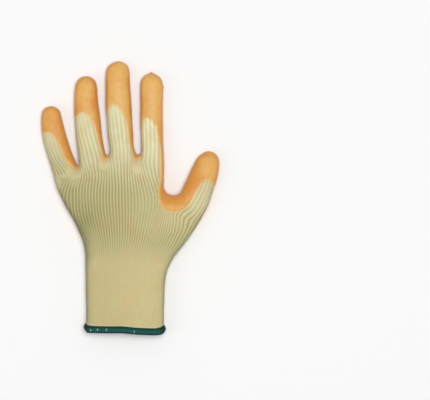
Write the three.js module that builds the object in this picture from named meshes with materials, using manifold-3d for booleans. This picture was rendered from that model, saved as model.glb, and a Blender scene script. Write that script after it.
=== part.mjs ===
// Coated knit work glove for the left hand, lying palm down, in millimetres.
// +X points to the thumb, +Y along the fingers, +Z out of the back of the hand, and the surface that the
// glove lies on is z = 0. The origin is under the middle of the glove's outline.
//
// A seamless knitted liner is one tube from the cuff to the palm, which divides into the thumb and, higher
// up, into four fingers. The glove's outer surface is lofted the same way: rings of points follow the knitted
// courses, and the long columns between them follow the wales. Every other surface is that one, moved
// inwards.
import * as THREE from "three";
import Module from "manifold-3d";
import { mergeVertices } from "three/addons/utils/BufferGeometryUtils.js";

const wasm = await Module();
wasm.setup();

// Wall and layer thicknesses
const COATING = 0.9; // latex skin
const GAP = 0.3; // between one piece and the next
const KNIT = 1.2; // knitted fabric under the latex
const BARE_DEPTH = 0.4; // outer face of the bare fabric, below that of the latex around it
const INSIDE_DEPTH = COATING + GAP + KNIT; // inner face of the fabric, all over

// Hem round the cuff: an overlocked edge that wraps the cut end of the knit
const HEM_UP = 3.6; // above the fabric's cut end
const HEM_FOOT = 3; // below it
const HEM_LEAF = 1.9; // outside the fabric's outer face
const HEM_LINING = 0.8; // inside its inner face

// Columns of the loft, on the back and again on the palm
const FINGER_COLUMNS = 4;
const WEB_COLUMNS = 2; // between one finger and the next

// Section shape of the hand: how square its back and palm are, and where the widest line lies
const BACK_SQUARENESS = 2.6;
const PALM_SQUARENESS = 4;
const PALM_FLATTENING = 1.12; // pushes the palm down on the surface, where it is cut off flat
const EDGE_SHARE = 0.42; // height of the outline over the palm, as a share of the thickness
const EDGE_COLUMN = 0.955; // place of the outermost column, as a share of the half width

// The hand, a row for each ring of the loft from the cuff up. left is the little finger's edge, index the
// line where the index finger's wales end, thumb the line where the thumb's begin, right the thumb's edge.
const HAND = [
  {
    left: [-40.8, -119.4], index: [15.7, -121.2], thumb: [20.8, -121.4], right: [31.9, -121.7],
    top: 22.5, palm: 1.65,
  },
  { left: [-40.8, -103], index: [15.9, -104], thumb: [21, -104.1], right: [32, -104.5], top: 22, palm: 1 },
  { left: [-40.8, -77], index: [16.6, -77], thumb: [21.8, -77], right: [33.1, -77], top: 21.5, palm: 0.3 },
  { left: [-41.2, -63], index: [19, -63.5], thumb: [24.4, -63.7], right: [36.4, -64], top: 22, palm: 0 },
  {
    left: [-41.7, -50.3], index: [23.6, -51], thumb: [29.4, -51.4], right: [42.7, -52.2],
    top: 22.5, palm: 0,
  },
  { left: [-44, -38.4], index: [28.5, -39.4], thumb: [34.6, -40.5], right: [50.1, -42.2], top: 23, palm: 0 },
  {
    left: [-48.5, -26.8], index: [30.8, -27.6], thumb: [38.6, -29.4], right: [58.1, -31.6],
    top: 23.5, palm: 0,
  },
  { left: [-53.9, -16.6], index: [32, -18], thumb: [42, -20.2], right: [64.9, -21.6], top: 24, palm: 0 },
  { left: [-59, -7.4], index: [31.8, -9], thumb: [44.8, -12], right: [70, -13], top: 24, palm: 0 },
  { left: [-64.1, 3], index: [30.2, -1], thumb: [46.2, -4.6], right: [73.5, -5], top: 23.5, palm: 0 },
];

// Above the thumb the tube holds only the four fingers' wales.
const KNUCKLES = [
  { left: [-68.3, 12.2], right: [31.9, 12.4], top: 22.5, palm: 0, valley: 0.5 },
  { left: [-70.7, 19.6], right: [31.6, 21.5], top: 21.5, palm: 0, valley: 1.4 },
  { left: [-71.8, 25.6], right: [31.6, 31], top: 19.5, palm: 0, valley: 3 },
];
// How far each ring's web columns have drawn in from even spacing towards the crotch above them
const WEB_DRAWN_IN = [0.15, 0.5, 1];

// Crotches between the fingers, seen from above. half is half the width of the web.
const CROTCHES = [
  { at: [-47.3, 31.4], half: 0.9 },
  { at: [-20.4, 40.7], half: 1.2 },
  { at: [7.2, 39.8], half: 1.7 },
];
const WEB_ROOT = { below: 6, half: 3.2 }; // where a web's columns start on the back and the palm
const WEB_DIP = 0.5; // how far its middle lies below its two ends, as a share of half
const VALLEY_REACH = 2.5; // columns over which the back dips towards a web
const THUMB_CROTCH = [[32.9, 6.6], [39.2, 3.7], [45.3, 6.4]];

// Each finger, a row for each ring from its root to its tip, and last the tip itself. half is half its width.
const FINGERS = {
  little: {
    rings: [
      { at: [-63.3, 38], half: 11.4, top: 16, palm: 0.3 },
      { at: [-66.8, 48.9], half: 11.4, top: 14.6, palm: 0.6 },
      { at: [-69.2, 59.4], half: 11.1, top: 14, palm: 0.7 },
      { at: [-70.8, 69.8], half: 10.5, top: 13.4, palm: 0.3 },
      { at: [-71.5, 77.3], half: 9.1, top: 12.2, palm: 0.6 },
      { at: [-71.7, 82.2], half: 6.3, top: 10.2, palm: 2 },
    ],
    tip: [-71.4, 85.3, 6.1],
  },
  ring: {
    rings: [
      { at: [-35.1, 46], half: 12.9, top: 17, palm: 0.3 },
      { at: [-37, 56.5], half: 12.7, top: 15.8, palm: 0.7 },
      { at: [-38.1, 68.5], half: 12.6, top: 15.2, palm: 0.9 },
      { at: [-39.4, 82.5], half: 12.2, top: 14.8, palm: 0.6 },
      { at: [-40.1, 95], half: 11.5, top: 14, palm: 0.1 },
      { at: [-39.8, 103.8], half: 10.2, top: 13, palm: 0.5 },
      { at: [-39.4, 109.2], half: 7, top: 10.6, palm: 2.2 },
    ],
    tip: [-38.8, 112.3, 6.4],
  },
  middle: {
    rings: [
      { at: [-7.1, 46], half: 11.9, top: 17.2, palm: 0.3 },
      { at: [-8.3, 56.5], half: 12.4, top: 16.2, palm: 0.8 },
      { at: [-9.6, 70], half: 13, top: 15.6, palm: 1 },
      { at: [-10.4, 85.3], half: 13, top: 15.2, palm: 0.8 },
      { at: [-11, 100.5], half: 12.4, top: 14.6, palm: 0.2 },
      { at: [-11.5, 111.7], half: 11.9, top: 13.8, palm: 0.1 },
      { at: [-11, 119], half: 10.1, top: 12.4, palm: 0.8 },
      { at: [-10.5, 122.9], half: 6.8, top: 10.4, palm: 2.4 },
    ],
    tip: [-10.1, 125.3, 6.4],
  },
  index: {
    rings: [
      { at: [19.8, 46], half: 11.1, top: 17, palm: 0.3 },
      { at: [19.9, 57.5], half: 11.2, top: 15.8, palm: 0.7 },
      { at: [20, 71.7], half: 11.5, top: 15.2, palm: 0.9 },
      { at: [19.9, 86.5], half: 11.5, top: 14.6, palm: 0.6 },
      { at: [19.8, 100.5], half: 11.4, top: 14, palm: 0.1 },
      { at: [19.7, 108.6], half: 10, top: 12.8, palm: 0.6 },
      { at: [19.6, 112.8], half: 6.8, top: 10.4, palm: 2.2 },
    ],
    tip: [19.8, 115.3, 6.3],
  },
  thumb: {
    rings: [
      { at: [63.5, 10.5], half: 14.2, top: 19.5, palm: 0.2 },
      { at: [67.6, 21.9], half: 13.6, top: 17, palm: 0.4 },
      { at: [70.7, 31.5], half: 12.3, top: 15, palm: 0.4 },
      { at: [72.1, 37.5], half: 10.3, top: 13.4, palm: 0.9 },
      { at: [72.4, 41.1], half: 7, top: 10.8, palm: 2.4 },
    ],
    tip: [72.3, 44.2, 6.6],
  },
};

// A finger's section, from one side to the other over its back: across and up, as shares of the half width
// and of the height over the widest line. The palm side is the same, pressed a little flatter.
const FINGER_SECTION = [[-0.84, 0.6], [-0.44, 0.92], [0, 1], [0.44, 0.92], [0.84, 0.6]];
const FINGER_PALM_FLATTENING = 1.1;
// The row of points over a fingertip: place across, and how far out to the tip each is pushed.
const TIP_ROW = [{ across: 0.3, out: 0.8 }, { across: 0.5, out: 1 }, { across: 0.7, out: 0.8 }];

// Where the latex ends on the back of the hand, a row for each finger. The bare knit reaches up between the
// finger's outer side (rim) and the thumb side (flank), under a round arch of latex.
const LATEX_ARCHES = [
  {
    rim: [-84, 60], foot: [-79.5, 60.6], crown: [-73, 60.6],
    shoulder: [-66.5, 56], flank: [-59, 40], web: [-51.5, 29],
  },
  {
    rim: [-46, 30], foot: [-50.5, 73], crown: [-43.5, 79],
    shoulder: [-33.5, 73], flank: [-28, 52], web: [-22.5, 36.4],
  },
  {
    rim: [-17.5, 37], foot: [-21, 80], crown: [-13.8, 85],
    shoulder: [-5, 78], flank: [0.4, 52], web: [6, 35.6],
  },
  {
    rim: [10.4, 36], foot: [12, 68.5], crown: [15.2, 73.6],
    shoulder: [24, 65], flank: [27.6, 40], web: [28.3, 6],
  },
  {
    rim: [30.6, -7], foot: [39, -12.4], crown: [50, -7],
    shoulder: [60, 5], flank: [67, 14.6], web: [72, 18.6],
  },
];
const LATEX_BELOW_THUMB = [[76.5, 17.4], [90, 14]]; // down the outer side of the thumb
const LATEX_SIDE = { height: 8.2, fall: 0.045 }; // its edge on the sides: height at y = 0, fall per mm of y
const LATEX_OUTER_SIDE = { little: 60, thumb: 14 }; // how far down each outer side it reaches over the back
const ARCH_STEPS = 12; // points along each arch
const PALM_LINE_STEPS = 22; // points along the line across the palm
// Where it ends towards the wrist, all round, from the little finger's side to the thumb's
const LATEX_ACROSS_PALM = [
  [-70, 2], [-63, -6.5], [-55.5, -20], [-43, -35.5], [-29, -41.6], [-8, -44.3],
  [15, -45], [33, -43.6], [44, -35.5], [57, -26.5], [72, -17],
];

const interpolate = (a, b, share) => a.map((value, i) => value + (b[i] - value) * share);

// Height of a ring's widest line.
const edgeHeight = ({ top, palm }) => palm + EDGE_SHARE * (top - palm);

// Height of the hand's back (side 1) or palm (side -1) at x, from -1 at one edge to 1 at the other.
function handHeight(row, x, side) {
  const { top, palm } = row;
  const edge = edgeHeight(row);
  const squareness = side > 0 ? BACK_SQUARENESS : PALM_SQUARENESS;
  const rise = (1 - Math.abs(x) ** squareness) ** (1 / squareness);
  if (side > 0) return edge + (top - edge) * rise;
  return Math.max(palm, edge - (edge - palm) * PALM_FLATTENING * rise);
}

// A ring of the loft: points over the back and over the palm from left to right, and one on each edge.
function ringOf(backPlan, row, edges, drop = () => 0) {
  const last = backPlan.length - 1;
  const across = (i) => EDGE_COLUMN * ((2 * i) / last - 1);
  return {
    back: backPlan.map((p, i) => [...p, handHeight(row, across(i), 1) - drop(i)]),
    palm: backPlan.map((p, i) => [...p, handHeight(row, across(i), -1)]),
    left: [...edges[0], edgeHeight(row)],
    right: [...edges[1], edgeHeight(row)],
  };
}

// Even columns from one point to another, without the last.
const evenly = (from, to, count) => Array.from({ length: count }, (_, i) => interpolate(from, to, i / count));

const PALM_COLUMNS = 4 * FINGER_COLUMNS + 3 * WEB_COLUMNS;

function handRing(row) {
  const inset = (1 - EDGE_COLUMN) / 2;
  const first = interpolate(row.left, row.right, inset);
  const final = interpolate(row.right, row.left, inset);
  const plan = [
    ...evenly(first, row.index, PALM_COLUMNS),
    ...evenly(row.index, row.thumb, WEB_COLUMNS),
    ...evenly(row.thumb, final, FINGER_COLUMNS),
    final,
  ];
  return ringOf(plan, row, [row.left, row.right]);
}

// Column numbers at each side of the webs between the fingers.
const webStarts = CROTCHES.map((_, i) => FINGER_COLUMNS + i * (FINGER_COLUMNS + WEB_COLUMNS));

function knuckleRing(row, drawnIn) {
  const inset = (1 - EDGE_COLUMN) / 2;
  const first = interpolate(row.left, row.right, inset);
  const final = interpolate(row.right, row.left, inset);
  const plan = [...evenly(first, final, PALM_COLUMNS), final];
  const knots = [[0, first], [PALM_COLUMNS, final]];
  CROTCHES.forEach(({ at }, i) => {
    [-1, 1].forEach((side, k) => {
      const column = webStarts[i] + k * WEB_COLUMNS;
      const drawn = [at[0] + side * WEB_ROOT.half, at[1] - WEB_ROOT.below];
      knots.push([column, interpolate(plan[column], drawn, drawnIn)]);
    });
  });
  knots.sort((a, b) => a[0] - b[0]);
  const points = [];
  for (let k = 0; k + 1 < knots.length; k += 1)
    points.push(...evenly(knots[k][1], knots[k + 1][1], knots[k + 1][0] - knots[k][0]));
  points.push(final);
  const nearness = (i, start) => Math.max(0, 1 - Math.abs(i - start - WEB_COLUMNS / 2) / VALLEY_REACH);
  const valley = (i) => row.valley * Math.max(...webStarts.map((start) => nearness(i, start)));
  return ringOf(points, row, [row.left, row.right], valley);
}

// The ring of a finger at row i, square to the line through its centres.
function fingerRing(rows, tip, i) {
  const centre = rows[i].at;
  const before = i > 0 ? rows[i - 1].at : centre;
  const after = i + 1 < rows.length ? rows[i + 1].at : tip;
  const along = new THREE.Vector2(after[0] - before[0], after[1] - before[1]).normalize();
  const { half, top, palm } = rows[i];
  const plan = (share) => [centre[0] + along.y * half * share, centre[1] - along.x * half * share];
  const edge = edgeHeight(rows[i]);
  const under = (up) => Math.max(palm, edge - (edge - palm) * FINGER_PALM_FLATTENING * up);
  return {
    back: FINGER_SECTION.map(([across, up]) => [...plan(across), edge + (top - edge) * up]),
    palm: FINGER_SECTION.map(([across, up]) => [...plan(across), under(up)]),
    left: [...plan(-1), edge],
    right: [...plan(1), edge],
  };
}

// The whole outer surface: its vertices, its faces as lists of vertex numbers, and its rim at the cuff.
function gloveSurface() {
  const vertices = [];
  const faces = [];
  const add = (point) => vertices.push(new THREE.Vector3(...point)) - 1;
  const addRing = (ring) => ({
    back: ring.back.map(add),
    palm: ring.palm.map(add),
    left: add(ring.left),
    right: add(ring.right),
  });
  const join = (low, high) => {
    const last = low.back.length - 1;
    for (let i = 0; i < last; i += 1) {
      faces.push([low.back[i], low.back[i + 1], high.back[i + 1], high.back[i]]);
      faces.push([low.palm[i + 1], low.palm[i], high.palm[i], high.palm[i + 1]]);
    }
    faces.push([low.back[last], low.right, high.right, high.back[last]]);
    faces.push([low.right, low.palm[last], high.palm[last], high.right]);
    faces.push([low.palm[0], low.left, high.left, high.palm[0]]);
    faces.push([low.left, low.back[0], high.back[0], high.left]);
  };
  // Closes the back to the palm over a row of points between them, at a crotch or a fingertip.
  const closeOver = (back, middle, palm) => {
    for (let i = 0; i + 1 < back.length; i += 1) {
      faces.push([back[i], back[i + 1], middle[i + 1], middle[i]]);
      faces.push([middle[i], middle[i + 1], palm[i + 1], palm[i]]);
    }
  };
  const columns = (ring, from, to, left, right) => ({
    back: ring.back.slice(from, to + 1),
    palm: ring.palm.slice(from, to + 1),
    left,
    right,
  });
  const finger = (root, { rings, tip }) => {
    let low = root;
    rings.forEach((_, i) => {
      const high = addRing(fingerRing(rings, tip, i));
      join(low, high);
      low = high;
    });
    const [left, right] = [vertices[low.left], vertices[low.right]];
    const toTip = new THREE.Vector3(...tip).sub(left.clone().lerp(right, 0.5));
    const tipRow = TIP_ROW.map(({ across, out }) => {
      const point = left.clone().lerp(right, across).addScaledVector(toTip, out);
      return add(point.toArray());
    });
    closeOver(low.back, [low.left, ...tipRow, low.right], low.palm);
  };

  let ring = addRing(handRing(HAND[0]));
  const rim = ring;
  let second;
  HAND.slice(1).forEach((row) => {
    const next = addRing(handRing(row));
    join(ring, next);
    second ??= next;
    ring = next;
  });
  const thumbWeb = THUMB_CROTCH.map((at) => add([...at, edgeHeight(HAND.at(-1))]));
  const thumbStart = PALM_COLUMNS + WEB_COLUMNS;
  closeOver(
    ring.back.slice(PALM_COLUMNS, thumbStart + 1),
    thumbWeb,
    ring.palm.slice(PALM_COLUMNS, thumbStart + 1),
  );
  finger(columns(ring, thumbStart, thumbStart + FINGER_COLUMNS, thumbWeb.at(-1), ring.right), FINGERS.thumb);

  ring = columns(ring, 0, PALM_COLUMNS, ring.left, thumbWeb[0]);
  KNUCKLES.forEach((row, i) => {
    const next = addRing(knuckleRing(row, WEB_DRAWN_IN[i]));
    join(ring, next);
    ring = next;
  });
  const webHeight = edgeHeight(KNUCKLES.at(-1));
  const webs = CROTCHES.map(({ at: [x, y], half }) =>
    [-1, 0, 1].map((side) => add([x + side * half, y + Math.abs(side) * half * WEB_DIP, webHeight])),
  );
  webs.forEach((web, i) => {
    const [from, to] = [webStarts[i], webStarts[i] + WEB_COLUMNS];
    closeOver(ring.back.slice(from, to + 1), web, ring.palm.slice(from, to + 1));
  });
  ["little", "ring", "middle", "index"].forEach((name, i) => {
    const from = i * (FINGER_COLUMNS + WEB_COLUMNS);
    const left = i > 0 ? webs[i - 1].at(-1) : ring.left;
    const right = i < webs.length ? webs[i][0] : ring.right;
    finger(columns(ring, from, from + FINGER_COLUMNS, left, right), FINGERS[name]);
  });
  return { vertices, faces, rim, second };
}

const outer = gloveSurface();

function normalsOf({ vertices, faces }) {
  const normals = vertices.map(() => new THREE.Vector3());
  faces.forEach((face) => {
    const [a, b, c, d] = face.map((v) => vertices[v]);
    const normal = c.clone().sub(a).cross(d.clone().sub(b));
    face.forEach((v) => normals[v].add(normal));
  });
  return normals.map((n) => n.normalize());
}
const normals = normalsOf(outer);

const loopOf = ({ left, back, palm, right }) => [left, ...back, right, ...[...palm].reverse()];
const rimLoop = loopOf(outer.rim);
const secondLoop = loopOf(outer.second);
rimLoop.forEach((v) => normals[v].setY(0).normalize());
const inwards = (v, depth) => outer.vertices[v].clone().addScaledVector(normals[v], -depth);

// The solid inside the outer surface moved inwards by depth, carried straight on out of the cuff by longer.
function solidWithin(depth, longer = 0) {
  const moved = outer.vertices.map((_, v) => inwards(v, depth));
  rimLoop.forEach((v, i) => {
    const alongCuff = moved[v].clone().sub(moved[secondLoop[i]]).normalize();
    moved[v].addScaledVector(alongCuff, longer);
  });
  const triangles = outer.faces.flatMap(([a, b, c, d]) => [a, b, c, a, c, d]);
  const { back, palm, left, right } = outer.rim;
  for (let i = 0; i + 1 < back.length; i += 1)
    triangles.push(palm[i], palm[i + 1], back[i + 1], palm[i], back[i + 1], back[i]);
  triangles.push(left, palm[0], back[0], palm.at(-1), right, back.at(-1));
  const geometry = new THREE.BufferGeometry();
  const positions = moved.flatMap((vertex) => vertex.toArray());
  geometry.setAttribute("position", new THREE.Float32BufferAttribute(positions, 3));
  geometry.setIndex(triangles);
  return solidOf(geometry);
}

function solidOf(geometry) {
  const bare = geometry.clone();
  bare.deleteAttribute("normal");
  bare.deleteAttribute("uv");
  const merged = mergeVertices(bare);
  return new wasm.Manifold(
    new wasm.Mesh({
      numProp: 3,
      vertProperties: new Float32Array(merged.attributes.position.array),
      triVerts: new Uint32Array(merged.index.array),
    }),
  );
}

function geometryOf(solid) {
  const mesh = solid.getMesh();
  const positions = new Float32Array(mesh.numVert * 3);
  for (let i = 0; i < mesh.numVert; i += 1)
    positions.set(mesh.vertProperties.subarray(i * mesh.numProp, i * mesh.numProp + 3), i * 3);
  const geometry = new THREE.BufferGeometry();
  geometry.setAttribute("position", new THREE.BufferAttribute(positions, 3));
  geometry.setIndex(new THREE.BufferAttribute(mesh.triVerts, 1));
  geometry.computeVertexNormals();
  return geometry;
}

// An upright block over a plan outline, from a floor that falls along +Y up to a level top.
function blockOver(outline, floor, top, fall = 0) {
  const shape = new THREE.Shape(outline.map(([x, y]) => new THREE.Vector2(x, y)));
  const block = new THREE.ExtrudeGeometry(shape, { depth: 1, bevelEnabled: false });
  const corners = block.getAttribute("position");
  for (let i = 0; i < corners.count; i += 1)
    corners.setZ(i, corners.getZ(i) > 0 ? top : floor - fall * corners.getY(i));
  return solidOf(block);
}

function smoothLine(points, steps) {
  const curve = new THREE.SplineCurve(points.map(([x, y]) => new THREE.Vector2(x, y)));
  return curve.getPoints(steps).map((point) => point.toArray());
}

const FAR = 150; // past the glove on every side
const ABOVE = 40; // over the back of the hand
const BEYOND_CUFF = 8; // how far a hollow is cut past the cuff's end

// An outline moved outwards by distance, or inwards where distance is negative. It runs anticlockwise.
function grown(outline, distance) {
  return outline.map((point, i) => {
    const before = outline[(i + outline.length - 1) % outline.length];
    const after = outline[(i + 1) % outline.length];
    const outward = ([x0, y0], [x1, y1]) => new THREE.Vector2(y1 - y0, x0 - x1).normalize();
    const first = outward(before, point);
    const miter = first.clone().add(outward(point, after)).normalize();
    const reach = distance / Math.max(0.5, miter.dot(first));
    return [point[0] + miter.x * reach, point[1] + miter.y * reach];
  });
}

// Space over the back where the knit is bare, and the space round the wrist and cuff, both smaller by margin
function bareSpace(margin) {
  const arches = LATEX_ARCHES.flatMap(({ rim, foot, crown, shoulder, flank, web }) => [
    rim,
    ...smoothLine([foot, crown, shoulder, flank, web], ARCH_STEPS),
  ]);
  const { little, thumb } = LATEX_OUTER_SIDE;
  const back = [
    [-FAR, -FAR], [-FAR, little], ...arches, ...LATEX_BELOW_THUMB, [FAR, thumb], [FAR, -FAR],
  ].reverse();
  const acrossPalm = smoothLine(LATEX_ACROSS_PALM, PALM_LINE_STEPS);
  const [palmFrom, palmTo] = [acrossPalm.at(0)[1], acrossPalm.at(-1)[1]];
  const wrist = [[-FAR, -FAR], [-FAR, palmFrom], ...acrossPalm, [FAR, palmTo], [FAR, -FAR]].reverse();
  return blockOver(grown(back, -margin), LATEX_SIDE.height + margin, ABOVE, LATEX_SIDE.fall).add(
    blockOver(grown(wrist, -margin), -ABOVE, ABOVE),
  );
}

// The hem's section: out from the bare fabric's outer face, and up from its cut end.
const THROUGH = INSIDE_DEPTH - BARE_DEPTH; // the bare fabric's thickness
const HEM_SECTION = [
  { out: GAP, up: HEM_UP },
  { out: HEM_LEAF * 0.8, up: HEM_UP - 0.2 },
  { out: HEM_LEAF, up: HEM_UP - 1.4 },
  { out: HEM_LEAF, up: -0.8 },
  { out: HEM_LEAF * 0.5, up: -HEM_FOOT * 0.9 },
  { out: -THROUGH, up: -HEM_FOOT },
  { out: -THROUGH - HEM_LINING, up: -HEM_FOOT * 0.4 },
  { out: -THROUGH - GAP, up: HEM_UP - 0.6 },
  { out: -THROUGH - GAP, up: -GAP },
  { out: GAP, up: -GAP },
];

function hemSolid() {
  const positions = rimLoop.flatMap((v, i) =>
    HEM_SECTION.flatMap(({ out, up }) => {
      const start = inwards(v, BARE_DEPTH - out);
      const rise = inwards(secondLoop[i], BARE_DEPTH - out).sub(start);
      return start.addScaledVector(rise, up / rise.length()).toArray();
    }),
  );
  const count = HEM_SECTION.length;
  const triangles = rimLoop.flatMap((_, i) =>
    HEM_SECTION.flatMap((__, k) => {
      const j = ((i + 1) % rimLoop.length) * count;
      const next = (k + 1) % count;
      const [a, b, c, d] = [i * count + k, i * count + next, j + next, j + k];
      return [a, b, c, a, c, d];
    }),
  );
  const geometry = new THREE.BufferGeometry();
  geometry.setAttribute("position", new THREE.Float32BufferAttribute(positions, 3));
  geometry.setIndex(triangles);
  return solidOf(geometry);
}

const whole = solidWithin(0);
const latex = whole.subtract(solidWithin(COATING, BEYOND_CUFF)).subtract(bareSpace(0));
const { left: cutFrom, right: cutTo } = HAND[0];
const cutSlope = (cutTo[1] - cutFrom[1]) / (cutTo[0] - cutFrom[0]);
const cutAt = (x) => [x, cutFrom[1] + cutSlope * (x - cutFrom[0])];
const aboveCut = blockOver([cutAt(-FAR), cutAt(FAR), [FAR, FAR], [-FAR, FAR]], -ABOVE, ABOVE);
const fabric = solidWithin(BARE_DEPTH, BEYOND_CUFF)
  .subtract(solidWithin(INSIDE_DEPTH, 2 * BEYOND_CUFF))
  .intersect(aboveCut);
const roomForLatex = whole.subtract(solidWithin(COATING + GAP, BEYOND_CUFF)).subtract(bareSpace(GAP));
const liner = fabric.subtract(roomForLatex);

const finishes = {
  knit_liner: new THREE.MeshStandardMaterial({ color: 0xd6cc92, roughness: 0.9, metalness: 0 }),
  latex_coating: new THREE.MeshStandardMaterial({ color: 0xe2953a, roughness: 0.5, metalness: 0 }),
  cuff_hem: new THREE.MeshStandardMaterial({ color: 0x1f5a52, roughness: 0.85, metalness: 0 }),
};
const pieces = { knit_liner: liner, latex_coating: latex, cuff_hem: hemSolid() };

// The origin goes under the middle of the whole glove.
const outline = new THREE.Box3();
const group = new THREE.Group();
Object.entries(pieces).forEach(([name, solid]) => {
  const mesh = new THREE.Mesh(geometryOf(solid), finishes[name]);
  mesh.name = name;
  group.add(mesh);
  outline.expandByObject(mesh);
});
const middle = outline.getCenter(new THREE.Vector3());
group.children.forEach((mesh) => mesh.geometry.translate(-middle.x, -middle.y, 0));

export default group;
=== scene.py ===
# %% [markdown]
# # A latex-coated knitted work glove
# The glove lies palm down, with the back of the hand up. It is made of three things: a seamless knitted
# liner, the latex that the liner's palm and fingertips were dipped in, and an overlocked hem round the cuff.
# All three follow one smooth surface, so that surface is made first, and every piece is grown from it.
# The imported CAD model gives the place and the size.

import math
from collections import namedtuple

import bmesh
import bpy
import numpy as np
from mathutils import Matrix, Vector, noise


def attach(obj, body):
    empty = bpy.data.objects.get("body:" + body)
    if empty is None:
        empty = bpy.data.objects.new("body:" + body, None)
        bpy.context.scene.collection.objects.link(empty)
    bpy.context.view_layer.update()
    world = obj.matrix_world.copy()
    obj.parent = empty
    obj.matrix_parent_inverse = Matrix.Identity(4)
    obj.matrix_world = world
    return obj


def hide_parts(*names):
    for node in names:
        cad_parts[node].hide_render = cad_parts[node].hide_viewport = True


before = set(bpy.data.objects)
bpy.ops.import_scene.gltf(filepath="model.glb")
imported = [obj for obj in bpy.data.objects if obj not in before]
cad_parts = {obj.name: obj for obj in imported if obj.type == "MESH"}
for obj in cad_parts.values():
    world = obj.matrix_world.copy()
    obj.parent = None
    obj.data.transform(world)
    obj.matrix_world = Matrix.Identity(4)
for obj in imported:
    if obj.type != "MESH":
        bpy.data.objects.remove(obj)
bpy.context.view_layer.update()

# %% [markdown]
# ## Camera, floor and light
# A product photograph of a glove is taken from straight above with a long lens, so that no finger looks
# nearer than another. The floor is plain and pale. One wide soft light stands over the glove, a little to
# the thumb's side, and the surroundings fill the shadows. A camera without perspective would do as well, but
# a long lens is what a photographer has.

# %% Camera
MM = 0.001
FRAME_WIDTH_PX = 430
MM_PER_PX = 0.91
FRAME_CENTRE_MM = (77.15, -1.44)
CAMERA_HEIGHT = 2.4
OUTLINE_HEIGHT = 0.012  # the glove's outline is about this high, and the scale is right there
SENSOR_MM = 36
CLIP_NEAR, CLIP_FAR = 0.1, 20


def new_object(name, data):
    """A new object in the scene."""
    made = bpy.data.objects.new(name, data)
    bpy.context.scene.collection.objects.link(made)
    return made


camera = new_object("camera", bpy.data.cameras.new("camera"))
camera.data.sensor_width = SENSOR_MM
camera.data.lens = SENSOR_MM * (CAMERA_HEIGHT - OUTLINE_HEIGHT) / (FRAME_WIDTH_PX * MM_PER_PX * MM)
camera.location = (FRAME_CENTRE_MM[0] * MM, FRAME_CENTRE_MM[1] * MM, CAMERA_HEIGHT)
camera.data.clip_start, camera.data.clip_end = CLIP_NEAR, CLIP_FAR
bpy.context.scene.camera = camera
print("lens", round(camera.data.lens), "mm")


# %% Floor and lights
def set_inputs(node, **values):
    """Sets a node's inputs by name, with an underscore for each space."""
    for name, value in values.items():
        node.inputs[name.replace("_", " ")].default_value = value


def new_material(name):
    """A material, its node tree and its shader."""
    material = bpy.data.materials.new(name)
    material.use_nodes = True
    tree = material.node_tree
    return material, tree, tree.nodes["Principled BSDF"]


FLOOR_HALF = 3
FLOOR_GAP = 0.0003
floor_mesh = bpy.data.meshes.new("floor")
floor_bm = bmesh.new()
bmesh.ops.create_grid(floor_bm, x_segments=1, y_segments=1, size=FLOOR_HALF)
floor_bm.to_mesh(floor_mesh)
floor = new_object("floor", floor_mesh)
floor.location.z = -FLOOR_GAP
floor_finish, _, floor_shader = new_material("floor paper")
set_inputs(floor_shader, Base_Color=(0.98, 0.98, 0.98, 1), Roughness=0.95)
floor_mesh.materials.append(floor_finish)

Light = namedtuple("Light", "name place size power")
LIGHTS = [
    Light("overhead", (0.3, 0.2, 3), 1.3, 57.5),
    Light("fill", (-1.6, -0.6, 1.6), 1.4, 5),
]
SURROUNDINGS = 0.33
for light in LIGHTS:
    lamp = bpy.data.lights.new(light.name, "AREA")
    lamp.size, lamp.energy = light.size, light.power
    stand = new_object(light.name, lamp)
    stand.location = light.place
    stand.rotation_mode = "QUATERNION"
    stand.rotation_quaternion = Vector(light.place).to_track_quat("Z", "Y")

world = bpy.data.worlds.new("studio")
bpy.context.scene.world = world
world.use_nodes = True
set_inputs(world.node_tree.nodes["Background"], Color=(1, 1, 1, 1), Strength=SURROUNDINGS)
bpy.context.scene.view_settings.view_transform = "Standard"
print("lights", ", ".join(light.name for light in LIGHTS))

# %% [markdown]
# ## The glove's measurements
# A seamless glove is knitted on one machine as a tube that divides into fingers. The tables below give that
# tube ring by ring, in millimetres: where each ring's edges lie in plan, and how high its back and its palm
# are. They are the CAD model's, drawn in by up to a millimetre or two to the photograph's outline.

# %% Hand and knuckles
CENTRE = (0.652, 0.302)  # the plan's origin moves here, under the middle of the glove
FINGER_COLUMNS = 3
WEB_COLUMNS = 2
PALM_COLUMNS = 4 * FINGER_COLUMNS + 3 * WEB_COLUMNS
BACK_SQUARENESS = 2.6
PALM_SQUARENESS = 4
PALM_FLATTENING = 1.12
EDGE_SHARE = 0.42
EDGE_COLUMN = 0.955

HandRow = namedtuple("HandRow", "left index thumb right top palm")
HAND = [
    HandRow((-40.2, -119.4), (15.7, -121.2), (20.8, -121.4), (31.4, -121.7), 22.5, 1.65),
    HandRow((-39.7, -103), (15.9, -104), (21, -104.1), (31.4, -104.5), 22, 1),
    HandRow((-40, -90), (16.2, -90.5), (21.4, -90.5), (31.8, -90.5), 21.5, 0.6),
    HandRow((-40.2, -77), (16.9, -77), (22.3, -77), (32.5, -77), 21.5, 0.3),
    HandRow((-40.4, -63), (19.8, -63.5), (25.6, -63.7), (35.2, -64), 22, 0),
    HandRow((-40.8, -50.3), (25.4, -51), (32.2, -51.4), (41.6, -52.2), 22.5, 0),
    HandRow((-42.9, -38.4), (30.2, -39.4), (38.6, -40.5), (49.5, -42.2), 23, 0),
    HandRow((-47.9, -26.8), (31.8, -27.6), (42.4, -29.4), (57, -31.6), 23.5, 0),
    HandRow((-53, -16.6), (31.8, -18), (43, -20.2), (63.4, -21.6), 24, 0),
    HandRow((-58.3, -7.4), (31.2, -9), (44.6, -12), (68.4, -12.8), 24, 0),
    HandRow((-63.4, 3), (30, -1), (48, -4.4), (72.3, -4.9), 23.5, 0),
]
KnuckleRow = namedtuple("KnuckleRow", "left right top palm valley drawn_in")
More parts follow.
